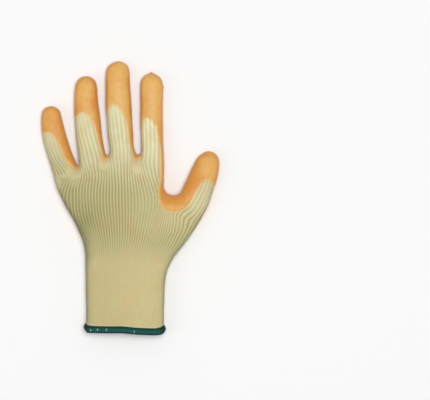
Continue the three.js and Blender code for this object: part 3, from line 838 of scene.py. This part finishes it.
RIB_DEPTH_MM = 0.5
GROOVE_SHARPNESS = 1.6
CUFF_RIBS = 0.17
on_back = facing_up > 0.2
groove = (0.5 - 0.5 * np.cos(2 * math.pi * wales)) ** GROOVE_SHARPNESS
rib_all = CUFF_RIBS + (1 - CUFF_RIBS) * smoothstep(-61.7, -34.7, plan_y)
Patch = namedtuple("Patch", "at half")
PATCHES = [
    Patch((-50, 24), (9, 6.8)), Patch((-67, 13), (5, 9)), Patch((-23, 32.5), (5.5, 6.5)),
    Patch((7.3, 31), (4.6, 9)), Patch((-58.5, 20.7), (6.5, 1.8)),
]
ribbed = np.ones(len(base))
for patch in PATCHES:
    ribbed *= smoothstep(0.7, 1.15, away_from(patch.at, patch.half, plan_mm))
Stretch = namedtuple("Stretch", "at half strength")
STRETCHES = [  # where the knit lies slack and its ribs are faint, or is drawn together and they are deep
    Stretch((-38, -37), (14, 16), 0.35), Stretch((21, -15), (24, 24), 0.6),
    Stretch((-3, -45), (28, 14), 0.75), Stretch((-70, 55), (13, 18), 0.35),
    Stretch((-20, 14), (38, 13), 1.3), Stretch((60, 0), (18, 22), 0.75),
    Stretch((71, 5), (6, 13), 0.6), Stretch((-59, 40), (5.5, 14), 0.3),
    Stretch((-41, 75), (12, 14), 0.3), Stretch((-14, 81), (9, 11), 0.3),
    Stretch((-50, 15), (6, 5), 0.7),
]
for stretch in STRETCHES:
    within = 1 - smoothstep(0.4, 1.2, away_from(stretch.at, stretch.half, plan_mm))
    ribbed *= 1 + (stretch.strength - 1) * within
# On the hand's sides the ribs die out, because the back's wales and the palm's run into each other there.
rib_all *= ribbed * (1 - placed_share * (1 - smoothstep(0.05, 0.4, np.abs(facing_up))))
RAGGED_MM = 1  # the tops of the ribs stay bare a little further than the grooves between them
bare_mm += RAGGED_MM * (0.5 - groove) * rib_all * on_back
rib_strength = rib_all * smoothstep(-2.6, -0.2, bare_mm)
print("ribs up to", round(float((groove * rib_strength).max() * RIB_DEPTH_MM), 2), "mm deep")


# %% Outer face
def offset_copy(mesh, offsets_mm, name):
    """A copy of a surface whose points are moved along their normals, and kept above the floor."""
    made = mesh.copy()
    made.name = name
    offsets = np.broadcast_to(offsets_mm, len(mesh.vertices)) * MM
    moved = coordinates(mesh) + coordinates(mesh, "normal") * offsets[:, None]
    moved[:, 2] = np.maximum(moved[:, 2], 0)
    move_to(made, moved)
    return made


KNIT_LEVEL_MM = -0.12
UNDER_LATEX_MM = 0.4
LUMP_MM = 0.2
LUMP_SCALE = 55  # per metre
LUMP_SHIFT = Vector((7, 3, 1))
lumps = np.array([noise.noise(Vector(p) * LUMP_SCALE + LUMP_SHIFT) for p in base]) * LUMP_MM
liner_offset = KNIT_LEVEL_MM + lumps - groove * rib_strength * RIB_DEPTH_MM
liner_offset -= UNDER_LATEX_MM * smoothstep(0, -2.5, bare_mm)
liner_outer = offset_copy(fine, liner_offset, "liner_outer")
print("outer face moved in by up to", round(float(-liner_offset.min()), 2), "mm")


# %% What the yarn's colour follows
def add_values(mesh, **values):
    """Keeps one number of each name for each vertex, for the materials to read."""
    for name, numbers in values.items():
        layer = mesh.attributes.new(name, "FLOAT", "POINT")
        numbers = np.broadcast_to(numbers, len(mesh.vertices))
        layer.data.foreach_set("value", np.ascontiguousarray(numbers, dtype=np.float32))


# The fingers' yarn is paler than the hand's, the thumb's half as much.
THUMB_PALE = 0.5
on_thumb = smoothstep(40, 62, plan_x) * smoothstep(-28, 0, plan_y) * THUMB_PALE
less_on_little = 0.72 + 0.28 * smoothstep(-68, -35, plan_x)
less_on_patches = 0.75 + 0.25 * ribbed
on_fingers = smoothstep(-10, 62, plan_y) * less_on_little * less_on_patches

# Painted shade: the knit is greyer down the glove's sides, where they turn away from the light, most of all
# along the left edge of the palm's heel.
SIDE_SHADE_AT_FINGERS, SIDE_SHADE_AT_THUMB = 0.62, 0.3  # this much less of it there
LEFT_SHADE, LEFT_SHADE_AT_HEEL = 0.38, 0.4
LEFT_REACH_MM, LEFT_REACH_AT_HEEL_MM = 4.5, 2
SIDE_SHADE_BELOW = 0.6
SIDE_SHADE_MOST = 0.95
from_left = plan_x - np.interp(plan_y, [row.left[1] for row in HAND], [row.left[0] for row in HAND])
at_heel = smoothstep(-66, -52, plan_y) * (1 - smoothstep(-30, -12, plan_y))
left_reach = LEFT_REACH_MM + LEFT_REACH_AT_HEEL_MM * at_heel
left_shade = (LEFT_SHADE + LEFT_SHADE_AT_HEEL * at_heel) * np.exp(-((from_left / left_reach) ** 2))
left_shade *= 1 - smoothstep(-8, 8, plan_y)
side = 1 - smoothstep(0.15, 0.99, np.abs(facing_up))
side *= 1 - SIDE_SHADE_AT_FINGERS * smoothstep(0, 35, plan_y) - SIDE_SHADE_AT_THUMB * smoothstep(35, 60, plan_x)
side *= SIDE_SHADE_BELOW + (1 - SIDE_SHADE_BELOW) * smoothstep(0, 0.35, facing_up)
side = np.minimum(side + left_shade * smoothstep(0, 0.3, facing_up), SIDE_SHADE_MOST)

JOINS = [((-50, 26), 6), ((-24, 33.5), 6), ((7.5, 33), 5)]  # latex has soaked a little into these patches
# The tones are partly the yarn's own tone and partly painted light and shade.
Tone = namedtuple("Tone", "at half lighter")
TONES = [  # lighter and darker places on the back
    Tone((-41, -25), (13, 18), -0.6), Tone((43, -17), (15, 13), 0.45),
    Tone((-60, 36), (7, 11), -0.2), Tone((-54, 6), (9, 11), -0.22),
    Tone((9, 36), (12, 9), -0.15), Tone((-46, 66), (5, 14), 0.25),
    Tone((-14, -112), (30, 12), -0.09), Tone((-34, -54), (9, 8), 0.2),
    Tone((-43, 54), (8, 14), 0.7),
]
# The side number carries the painted side shade, and the tone number partly painted light and shade, to the
# yarn.
add_values(
    liner_outer,
    rib=rib_strength,
    bare=bare_mm,
    pale=np.maximum(on_fingers, on_thumb),
    above_hem=above_cut(base) - np.interp(plan_x, *zip(*CUFF_END)),
    side=side,
    soaked=sum(near(at, reach) for at, reach in JOINS) * on_back,
    tone=sum(tone.lighter * near(tone.at, tone.half) for tone in TONES) * on_back,
)
print("kept for the yarn:", ", ".join(a.name for a in liner_outer.attributes if a.data_type == "FLOAT"))


# %% Inner wall and rim
def finished_mesh(bm, name):
    """The bmesh as a mesh with smooth shading."""
    made = bpy.data.meshes.new(name)
    bm.to_mesh(made)
    print(name, len(bm.faces), "faces, open edges", sum(e.is_boundary for e in bm.edges))
    bm.free()
    for polygon in made.polygons:
        polygon.use_smooth = True
    return made


WALL_MM = 2.2
liner_inner = offset_copy(coarse, -WALL_MM, "liner_inner")
# The inner wall gets a little of the painted side shade too.
add_values(liner_inner, rib=0.4, bare=FAR, pale=0, above_hem=FAR, side=0.15, soaked=0, tone=0)
liner_bm = bmesh.new()
liner_bm.from_mesh(liner_inner)
bmesh.ops.reverse_faces(liner_bm, faces=liner_bm.faces)
liner_bm.from_mesh(liner_outer)
bmesh.ops.bridge_loops(liner_bm, edges=[e for e in liner_bm.edges if e.is_boundary])
liner_mesh = finished_mesh(liner_bm, "knit_liner_cloth")
liner = new_object("liner", liner_mesh)
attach(liner, "root")
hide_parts("knit_liner")

# %% [markdown]
# ## The latex
# The latex is a skin on the knit. It is thin at its edge, where it has run into the grooves between the ribs,
# so its outer face starts below the knit and rises through it. That gives the border its soft, uneven line.
# Across the palm it ends in a thicker lip, because the last of it runs down and sets there. It could be a
# second colour on the knit, but then it would have no thickness at its edge, so it is a skin of its own.

# %% The latex's outer face
LATEX_LEVEL_MM = 0.04
LATEX_BURIED_MM = 1.3
rise = smoothstep(1.2, -1.6, bare_mm)
latex_offset = LATEX_LEVEL_MM + lumps - LATEX_BURIED_MM * (1 - rise)
THROUGH_REACH_MM = 8  # the ribs show through the latex this far from its edge
THROUGH_DEPTH_MM = 0.16
upward, downward = np.clip(facing_up, 0, 1), np.clip(-facing_up, 0, 1)
through = rib_all * smoothstep(-THROUGH_REACH_MM, 1, bare_mm) * smoothstep(0.2, 0.7, upward)
latex_offset -= groove * through * THROUGH_DEPTH_MM
LIP_MM = 0.8
LIP_IN_MM, LIP_HALF_MM = 2.6, 1.8  # how far in from the edge it is, and half its width
PALM_DROP_MM = 0.5
lip = np.exp(-(((bare_mm + LIP_IN_MM) / LIP_HALF_MM) ** 2)) * smoothstep(-8, -3, over_wrist)
lip *= smoothstep(-0.2, 0.35, downward)
latex_offset += lip * LIP_MM - PALM_DROP_MM * smoothstep(0.7, 1, downward)
Drop = namedtuple("Drop", "at radius height")
DROPS = [  # small beads of latex that set as they ran off
    Drop((19, 114.1, 6.4), 1.4, 1.1),
    Drop((-28.9, 99.4, 6.5), 1.5, 1.1),
    Drop((-28.6, 94.2, 6.5), 1.4, 0.6),
    Drop((30.4, 101.7, 6.5), 1.5, 0.9),
]
for drop in DROPS:
    away = np.linalg.norm(base / MM - np.array(drop.at), axis=1)
    latex_offset += drop.height * np.exp(-((away / drop.radius) ** 2))

latex_outer = offset_copy(fine, latex_offset, "latex_outer")
print("latex's outer face moved by up to", round(float(latex_offset.max()), 2), "mm")

# %% What the latex's colour follows
THUMB_WEB = (42, 2)
THUMB_WEB_REACH = 17
SIDES_THICKER_AND_SHADED = 0.8
LATEX_SIDE_SHADE = 0.5
DIPPED_DEEPER = [  # at, reach, how much
    ((-70, 70), 22, 0.45), ((-39, 95), 22, 0.35), ((69, 28), 22, 0.25), ((58, 20), 10, 0.4),
    ((31, 0), 7, 0.3), ((-58, 44), 11, 0.7), ((-27.5, 67), 9, 0.3), ((-28, 84), 9, 0.3),
]
# Deeper colour where the latex faces away from up, paler on top: partly real thickness, partly painted shade.
thick = np.maximum(SIDES_THICKER_AND_SHADED * (1 - smoothstep(0.4, 0.97, upward)), near(THUMB_WEB, THUMB_WEB_REACH))
thick += sum(more * near(at, reach, power=4) for at, reach, more in DIPPED_DEEPER)
# Painted shade: the latex is greyer down the fingers' sides.
latex_side_shade = (1 - smoothstep(0.05, 0.75, np.abs(facing_up))) * smoothstep(4, 20, plan_y) * LATEX_SIDE_SHADE
add_values(latex_outer, rib=through, bare=bare_mm, thick=thick, side=latex_side_shade)
print("thickest latex colour", round(float(thick.max()), 2))

# %% Latex skin
SKIN_MM = 0.3
LATEX_CUT_MM = 2.4
latex_bm = bmesh.new()
latex_bm.from_mesh(latex_outer)
latex_bm.verts.ensure_lookup_table()
bare_points = [latex_bm.verts[i] for i in np.flatnonzero(bare_mm > LATEX_CUT_MM)]
bmesh.ops.delete(latex_bm, geom=bare_points, context="VERTS")
bmesh.ops.delete(latex_bm, geom=[v for v in latex_bm.verts if not v.link_faces], context="VERTS")
bmesh.ops.solidify(latex_bm, geom=latex_bm.faces[:], thickness=SKIN_MM * MM)
latex_mesh = finished_mesh(latex_bm, "latex_skin")
latex = new_object("latex", latex_mesh)
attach(latex, "root")
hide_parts("latex_coating")

# %% [markdown]
# ## The hem
# The cut end of the cuff is overlocked: a machine wraps it in thread, which rolls into a firm ridge. Each
# loop of thread could be a tube along a curve, but single threads are too thin to see here and would cost
# many faces. So a ring of points follows the cuff's end, extruding it round an oval section gives the roll,
# and each wrap of thread is a slanted rib on it.

# %% The cuff's end in order
def boundary_loop(mesh):
    """The vertex numbers round the open end of a surface, in order."""
    walk = bmesh.new()
    walk.from_mesh(mesh)
    start = next(v for v in walk.verts if v.is_boundary)
    loop, before = [start], None
    while True:
        nearby = [e.other_vert(loop[-1]) for e in loop[-1].link_edges if e.is_boundary]
        following = next(v for v in nearby if v is not before)
        if following is start:
            break
        before = loop[-1]
        loop.append(following)
    order = [v.index for v in loop]
    walk.free()
    return order


rim_order = boundary_loop(fine)
rim_places = base[rim_order]
rim_outward = outward[rim_order] * np.array([1, 0, 1])
rim_outward /= np.linalg.norm(rim_outward, axis=1)[:, None]
print("the cuff's end has", len(rim_order), "points")

# %% Section of the hem
HEM_CENTRE_MM = (-0.75, 0.3)  # out from the knit's outer face, up from its cut end
HEM_HALF_MM = (2.35, 3.2)
HEM_CORNER_REACH = 30  # in points along the cuff's end
HEM_CORNERS = [  # the hem is taller at the cuff's two folds: a point along the cuff's end, and by how much
    (int(np.argmin(rim_places[:, 0])), 0.65),
    (int(np.argmax(rim_places[:, 0])), 1),
]
HEM_SQUARENESS = 0.8
SIDE_SQUARENESS = 1.45
WRAP_POINTS = 4
WRAP_MM = 0.22
WRAP_SLANT = 2.2


def rounded(value, squareness):
    """A sine or cosine for a section that is squarer below 1, and more pointed above 1."""
    return math.copysign(abs(value) ** squareness, value)


def hem_place(k, turn):
    """Where the hem's surface is, at point k along the cuff's end and at an angle round the roll."""
    side = abs(rim_outward[k][0]) ** 3
    squareness = HEM_SQUARENESS + (SIDE_SQUARENESS - HEM_SQUARENESS) * side
    wrap = WRAP_MM * math.cos(2 * math.pi * (k / WRAP_POINTS) + WRAP_SLANT * math.cos(turn))
    out = HEM_CENTRE_MM[0] + (HEM_HALF_MM[0] + wrap) * rounded(math.cos(turn), squareness)
    taller = 0
    for corner, extra in HEM_CORNERS:
        away = min(abs(k - corner), len(rim_order) - abs(k - corner))
        taller += extra * (1 - min(1, away / HEM_CORNER_REACH)) ** 2
    up = HEM_CENTRE_MM[1] + (HEM_HALF_MM[1] + taller + wrap) * rounded(math.sin(turn), squareness)
    place = rim_places[k] + (rim_outward[k] * out + np.array([0, up, 0])) * MM
    place[2] = max(place[2], 0)
    return Vector(place)


print("the hem stands out by", HEM_CENTRE_MM[0] + HEM_HALF_MM[0], "mm")

# %% Rolled hem
HEM_POINTS = 32
turns = 2 * math.pi * np.arange(HEM_POINTS) / HEM_POINTS
hem_bm = bmesh.new()
hem_bm.loops.layers.uv.new("knit")  # stays empty, so that all three pieces have a map of that name
bmesh.ops.create_circle(hem_bm, segments=len(rim_order), radius=1)
ring = list(hem_bm.verts)
for turn in turns:
    if turn:
        ring = extrude(hem_bm, ring, closed=True)
    for k, vertex in enumerate(ring):
        vertex.co = hem_place(k, turn)
bmesh.ops.bridge_loops(hem_bm, edges=[e for e in hem_bm.edges if e.is_boundary])
bmesh.ops.recalc_face_normals(hem_bm, faces=hem_bm.faces)
hem_mesh = finished_mesh(hem_bm, "hem_roll")

# %% What the thread's colour follows
STRAY_YARN = [(-35, -119.4), (-28.7, -118.6), (-20.5, -118.6), (4.6, -120.4)]
STRAY_HALF_MM = (0.36, 0.8)
STRAY_ABOVE_MM = 12
END_MM = (1.5, 7)
hem_points = coordinates(hem_mesh)
hem_x, _, hem_z = hem_points.T / MM
stray = sum(np.exp(-(away_from(at, STRAY_HALF_MM, in_plan(hem_points)) ** 2)) for at in STRAY_YARN)
off_ends = smoothstep(*END_MM, hem_x - hem_x.min()) * smoothstep(*END_MM, hem_x.max() - hem_x)
add_values(
    hem_mesh,
    up=np.repeat(np.sin(turns), len(rim_order)),
    stray=stray * (hem_z > STRAY_ABOVE_MM),
    end=1 - off_ends,
)
print("stray stitches", len(STRAY_YARN))
hem = new_object("hem", hem_mesh)
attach(hem, "root")
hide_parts("cuff_hem")

# %% [markdown]
# ## Finishes
# Each finish is a material of nodes that read places on the glove and the numbers kept on its points. The
# colours could be painted into pictures, but nodes stay sharp at any size, and a number can be changed later.
# Two effects are used by both yarn and latex, so each is a node group that is made once: the pattern of the
# knit, and the ragged line in which the latex fades into the yarn.

# %% Adding nodes
def put_in(tree, target, value):
    """Gives an input a value, or links another node's output to it."""
    if isinstance(value, bpy.types.NodeSocket):
        tree.links.new(value, target)
    else:
        target.default_value = value


def add(tree, kind, *values, **named):
    """Adds a node. Its inputs are given in order or by name, with an underscore for each space."""
    node = tree.nodes.new(kind)
    for target, value in zip(node.inputs, values):
        put_in(tree, target, value)
    for name, value in named.items():
        put_in(tree, node.inputs[name.replace("_", " ")], value)
    return node


def maths(tree, operation, *values):
    """One operation on numbers or other nodes' outputs."""
    node = add(tree, "ShaderNodeMath", *values)
    node.operation = operation
    return node.outputs[0]


# %% Knit pattern group
def new_group(name, inputs, outputs):
    """An empty node group, with what comes in and what goes out."""
    group = bpy.data.node_groups.new(name, "ShaderNodeTree")
    for label, default in inputs:
        made = group.interface.new_socket(label, in_out="INPUT", socket_type="NodeSocketFloat")
        made.default_value = default
    for label in outputs:
        group.interface.new_socket(label, in_out="OUTPUT", socket_type="NodeSocketFloat")
    return group, group.nodes.new("NodeGroupInput").outputs, group.nodes.new("NodeGroupOutput").inputs


def knit_place(tree):
    """Places on the knit's map: wales across, millimetres along."""
    node = tree.nodes.new("ShaderNodeUVMap")
    node.uv_map = "knit"
    return node.outputs[0]


def wave(tree, turns):
    """1 at whole turns and 0 between them."""
    swing = maths(tree, "COSINE", maths(tree, "MULTIPLY", turns, 2 * math.pi))
    return maths(tree, "MULTIPLY_ADD", swing, 0.5, 0.5)


COURSE_MM = 1.7  # the height of a stitch
LEG_SLOPE = 1.6
knit_group, given, put = new_group("knit pattern", [("Course", COURSE_MM)], ["Ridge", "Stitch"])
axes = add(knit_group, "ShaderNodeSeparateXYZ", knit_place(knit_group)).outputs
across = maths(knit_group, "PINGPONG", axes["X"], 0.5)
along = maths(knit_group, "DIVIDE", axes["Y"], given["Course"])
leg = maths(knit_group, "MULTIPLY_ADD", across, LEG_SLOPE, along)
knit_group.links.new(wave(knit_group, axes["X"]), put["Ridge"])
knit_group.links.new(wave(knit_group, leg), put["Stitch"])
print("group", knit_group.name)


# %% Latex edge group
def object_place(tree):
    """Places on the glove, in metres."""
    return tree.nodes.new("ShaderNodeTexCoord").outputs["Object"]


def clouds(tree, place, scale, detail, **more):
    """Soft noise. A larger scale makes smaller clouds."""
    return add(tree, "ShaderNodeTexNoise", Vector=place, Scale=scale, Detail=detail, **more).outputs["Fac"]


def value_range(tree, value, low, high, to_low=0.0, to_high=1.0):
    """Turns one range of values into another, softly."""
    node = add(tree, "ShaderNodeMapRange", value, low, high, to_low, to_high)
    node.interpolation_type = "SMOOTHSTEP"
    return node.outputs[0]


FADE_MM = (2.4, -2.8)  # from bare yarn to full latex
fade_group, given, put = new_group("latex fade", [("Bare", 0.0), ("Wobble", 1.6)], ["Share"])
wobble = clouds(fade_group, object_place(fade_group), 480.0, 2.0)
wobble = maths(fade_group, "MULTIPLY", maths(fade_group, "SUBTRACT", wobble, 0.5), given["Wobble"])
edge = maths(fade_group, "ADD", given["Bare"], wobble)
fade_group.links.new(value_range(fade_group, edge, *FADE_MM), put["Share"])
print("group", fade_group.name)

# %% [markdown]
# ## The yarn's finish
# The liner is cream yarn, matt and a little fluffy. It is paler on the fingers and warmer where latex has
# soaked in. Painted shade makes it greyer down the sides, and darker in the grooves between the wales and in
# the gaps between the stitches. Strands could be modelled one by one, but at this size a stitch is smaller
# than a pixel, so stitches and fluff are only colour and bump on the real ribs.

# %% Yarn colour
def srgb(r, g, b):
    """A colour as a photograph gives it, 0 to 255, as the shader wants it."""
    def linear(c):
        c /= 255
        return c / 12.92 if c <= 0.04045 else ((c + 0.055) / 1.055) ** 2.4

    return (linear(r), linear(g), linear(b), 1)


def mix_colour(tree, share, a, b):
    """Colour a, going over to b as the share goes to 1."""
    node = tree.nodes.new("ShaderNodeMix")
    node.data_type = "RGBA"
    for i, value in ((0, share), (6, a), (7, b)):  # where a mix of colours has its inputs
        put_in(tree, node.inputs[i], value)
    return node.outputs[2]


def attribute(tree, name):
    """A number that was kept on the points."""
    node = tree.nodes.new("ShaderNodeAttribute")
    node.attribute_name = name
    return node.outputs["Fac"]


def product(tree, first, *others):
    """All of them multiplied."""
    for other in others:
        first = maths(tree, "MULTIPLY", first, other)
    return first


yarn, tree, shader = new_material("cream yarn")
place = object_place(tree)
place_axes = add(tree, "ShaderNodeSeparateXYZ", place).outputs
FINGER_YARN = srgb(255, 246, 202)
HAND_YARN = srgb(211, 202, 152)
CUFF_YARN = srgb(218, 204, 151)
SHADED_LEFT_YARN = srgb(178, 172, 120)
WARM_YARN = srgb(222, 190, 136)
JOIN_YARN = srgb(226, 192, 130)
JOIN_SHARE = 0.5
pale = attribute(tree, "pale")
towards_cuff = value_range(tree, place_axes["Y"], -0.036, -0.066)
# Painted shade: the glove's left half, away from the light, is a little darker.
shade_towards_left = value_range(tree, place_axes["X"], -0.03, 0.02, 0.25, 0.0)
warm = value_range(tree, clouds(tree, place, 70.0, 2.0), 0.42, 0.7, 0.0, 0.3)
colour = mix_colour(tree, pale, HAND_YARN, FINGER_YARN)
colour = mix_colour(tree, towards_cuff, colour, CUFF_YARN)
colour = mix_colour(tree, shade_towards_left, colour, SHADED_LEFT_YARN)
colour = mix_colour(tree, warm, colour, WARM_YARN)
colour = mix_colour(tree, product(tree, attribute(tree, "soaked"), JOIN_SHARE), colour, JOIN_YARN)
print("yarn so far", len(tree.nodes), "nodes")

# %% Yarn beside the latex, and painted light and shade on the back and down the sides
BESIDE_LATEX_YARN = srgb(236, 242, 206)
LIGHT_YARN = srgb(240, 228, 176)
DARK_YARN = srgb(160, 160, 106)
SIDE_SHADE_YARN = srgb(108, 109, 90)
BESIDE_SHARE = 0.2
SIDE_SHADE_SHARE = 0.62
bare = attribute(tree, "bare")
off_edge, not_far = value_range(tree, bare, 0.5, 3.5), value_range(tree, bare, 12.0, 4.0)
beside_latex = product(tree, off_edge, not_far, pale, BESIDE_SHARE)
tone = attribute(tree, "tone")
lighter = maths(tree, "MAXIMUM", tone, 0.0)
darker = maths(tree, "MAXIMUM", product(tree, tone, -1.0), 0.0)
colour = mix_colour(tree, beside_latex, colour, BESIDE_LATEX_YARN)
# Painted light and shade, partly the yarn's own tone, in the places of the tones.
colour = mix_colour(tree, lighter, colour, LIGHT_YARN)
colour = mix_colour(tree, darker, colour, DARK_YARN)
# Painted shade down the glove's sides.
colour = mix_colour(tree, product(tree, attribute(tree, "side"), SIDE_SHADE_SHARE), colour, SIDE_SHADE_YARN)
print("yarn so far", len(tree.nodes), "nodes")


# %% Painted shade in the grooves and between the stitches, and mottling
def use_group(tree, group, **inputs):
    """Places a node group in a material, with values of its own."""
    node = tree.nodes.new("ShaderNodeGroup")
    node.node_tree = group
    for name, value in inputs.items():
        put_in(tree, node.inputs[name], value)
    return node.outputs


def opposite(tree, value):
    """1 minus the value."""
    return maths(tree, "SUBTRACT", 1.0, value)


pattern = use_group(tree, knit_group, Course=COURSE_MM)
rib = attribute(tree, "rib")
# One darker colour serves for the painted shade in the grooves and between the stitches, and for the
# mottling.
dark = add(tree, "ShaderNodeHueSaturation", Saturation=1.2, Value=0.6, Color=colour).outputs[0]
groove_shade = maths(tree, "POWER", opposite(tree, pattern["Ridge"]), 1.3)
groove_shade_share = value_range(tree, pale, 0.0, 1.0, 0.95, 0.57)
stitch_shade_share = value_range(tree, rib, 0.0, 0.5, 0.08, 0.2)
colour = mix_colour(tree, product(tree, groove_shade, rib, groove_shade_share), colour, dark)
colour = mix_colour(tree, product(tree, opposite(tree, pattern["Stitch"]), stitch_shade_share), colour, dark)
streaks = add(tree, "ShaderNodeMapping", Vector=knit_place(tree), Scale=(1.7, 0.09, 1.0)).outputs[0]
uneven = value_range(tree, clouds(tree, streaks, 1.0, 2.0), 0.35, 0.75)
uneven_share = maths(tree, "MULTIPLY_ADD", pale, -0.05, 0.15)
colour = mix_colour(tree, product(tree, uneven, uneven_share), colour, dark)
print("yarn so far", len(tree.nodes), "nodes")


# %% Yarn at the hem with a painted highlight on its fold, yarn under the latex, and its surface
def finish_shader(tree, shader, colour, bump, **settings):
    """Gives a shader its colour, its bump and its fixed settings."""
    tree.links.new(colour, shader.inputs["Base Color"])
    tree.links.new(bump.outputs[0], shader.inputs["Normal"])
    set_inputs(shader, **settings)


HEM_FOLD_HIGHLIGHT_YARN = srgb(212, 216, 180)
SOAKED_YARN = srgb(236, 186, 116)
# Painted highlight: a pale line along the knit's fold just above the hem.
hem_fold_highlight = value_range(tree, attribute(tree, "above_hem"), 5.1, 4.3, 0.0, 0.5)
fade = use_group(tree, fade_group, Bare=bare)
colour = mix_colour(tree, hem_fold_highlight, colour, HEM_FOLD_HIGHLIGHT_YARN)
colour = mix_colour(tree, fade["Share"], colour, SOAKED_YARN)
fluff = product(tree, clouds(tree, place, 1600.0, 2.0), 0.4)
relief = maths(tree, "ADD", product(tree, pattern["Stitch"], 0.6), fluff)
bump = add(tree, "ShaderNodeBump", Strength=0.55, Distance=0.0004, Height=relief)
finish_shader(
    tree, shader, colour, bump, Roughness=0.9, Sheen_Weight=0.15, Sheen_Roughness=0.5, Specular_IOR_Level=0.2
)
liner_mesh.materials.append(yarn)
print(yarn.name, len(tree.nodes), "nodes")

# %% [markdown]
# ## The latex's finish
# Dipped latex is a dull-glossy orange rubber with a fine crinkle, deeper in colour where it is thick and
# paler where it is thin. Down the sides and over the grooves its colour is also darkened as painted shade. A
# clear rubber shader would show the yarn through it, but real latex of this kind is filled and hides the
# yarn, so it is an opaque finish with a little light scattered under its surface.

# %% Latex colour
latex_finish, tree, shader = new_material("orange latex")
place = object_place(tree)
THICK_LATEX = srgb(224, 150, 68)
THIN_LATEX = srgb(236, 182, 102)
GROOVE_SHADE_LATEX = srgb(214, 152, 84)
SIDE_SHADE_LATEX = srgb(198, 160, 116)
EDGE_LATEX = srgb(228, 206, 150)
cloudy = value_range(tree, clouds(tree, place, 60.0, 3.0), 0.35, 0.75, -0.2, 0.4)
thick = maths(tree, "ADD", attribute(tree, "thick"), cloudy)
streaks = add(tree, "ShaderNodeMapping", Vector=place, Scale=(900.0, 30.0, 300.0)).outputs[0]
streaky = value_range(tree, clouds(tree, streaks, 1.0, 1.0), 0.4, 0.8, 0.0, 0.2)
blotchy = value_range(tree, clouds(tree, place, 260.0, 2.0), 0.45, 0.8, 0.0, 0.4)
colour = mix_colour(tree, value_range(tree, thick, 0.0, 1.0), THIN_LATEX, THICK_LATEX)
colour = mix_colour(tree, streaky, colour, THICK_LATEX)
colour = mix_colour(tree, blotchy, colour, THICK_LATEX)
print("latex so far", len(tree.nodes), "nodes")

# %% Painted shade over the grooves and down the sides, the latex's edge, and its surface
pattern = use_group(tree, knit_group, Course=COURSE_MM)
GROOVE_SHADE_SHARE = 0.28
# Painted shade where the latex lies over the grooves.
groove_shade = product(tree, opposite(tree, pattern["Ridge"]), attribute(tree, "rib"), GROOVE_SHADE_SHARE)
fade = use_group(tree, fade_group, Bare=attribute(tree, "bare"))
colour = mix_colour(tree, groove_shade, colour, GROOVE_SHADE_LATEX)
# Painted shade down the latex's sides.
colour = mix_colour(tree, attribute(tree, "side"), colour, SIDE_SHADE_LATEX)
colour = mix_colour(tree, fade["Share"], EDGE_LATEX, colour)
crinkle = clouds(tree, place, 650.0, 4.0, Roughness=0.6)
bump = add(tree, "ShaderNodeBump", Strength=0.35, Distance=0.0004, Height=crinkle)
finish_shader(tree, shader, colour, bump, Roughness=0.48, Specular_IOR_Level=0.35)
set_inputs(shader, Sheen_Weight=0.3, Sheen_Roughness=0.35, Subsurface_Weight=0.08, Subsurface_Scale=0.002)
latex_mesh.materials.append(latex_finish)
print(latex_finish.name, len(tree.nodes), "nodes")

# %% [markdown]
# ## The thread's finish
# The hem's thread is dark green. Its upper side is greener, its face bluer, its underside and the folds at
# its two ends nearly black, and a few pale stitches of the liner's yarn stick out. Three colours mixed by the
# height on the roll give that more simply than a picture would.

# %% Hem finish
thread, tree, shader = new_material("green thread")
strands = clouds(tree, object_place(tree), 900.0, 3.0)
LOWER_THREAD = srgb(4, 26, 38)
FACE_THREAD = srgb(34, 86, 84)
UPPER_THREAD = srgb(14, 60, 42)
STRAND_THREAD = srgb(40, 92, 86)
STRAY_THREAD = srgb(200, 232, 210)
up = attribute(tree, "up")
strand_share = value_range(tree, strands, 0.35, 0.75, 0.0, 0.3)
colour = mix_colour(tree, value_range(tree, up, -0.75, -0.3), LOWER_THREAD, FACE_THREAD)
colour = mix_colour(tree, value_range(tree, up, 0.05, 0.5), colour, UPPER_THREAD)
colour = mix_colour(tree, product(tree, attribute(tree, "end"), 0.8), colour, LOWER_THREAD)
colour = mix_colour(tree, strand_share, colour, STRAND_THREAD)
colour = mix_colour(tree, attribute(tree, "stray"), colour, STRAY_THREAD)
bump = add(tree, "ShaderNodeBump", Strength=0.5, Distance=0.0003, Height=strands)
finish_shader(tree, shader, colour, bump, Roughness=0.85, Specular_IOR_Level=0.2, Sheen_Weight=0.05)
hem_mesh.materials.append(thread)
print(thread.name, len(tree.nodes), "nodes")
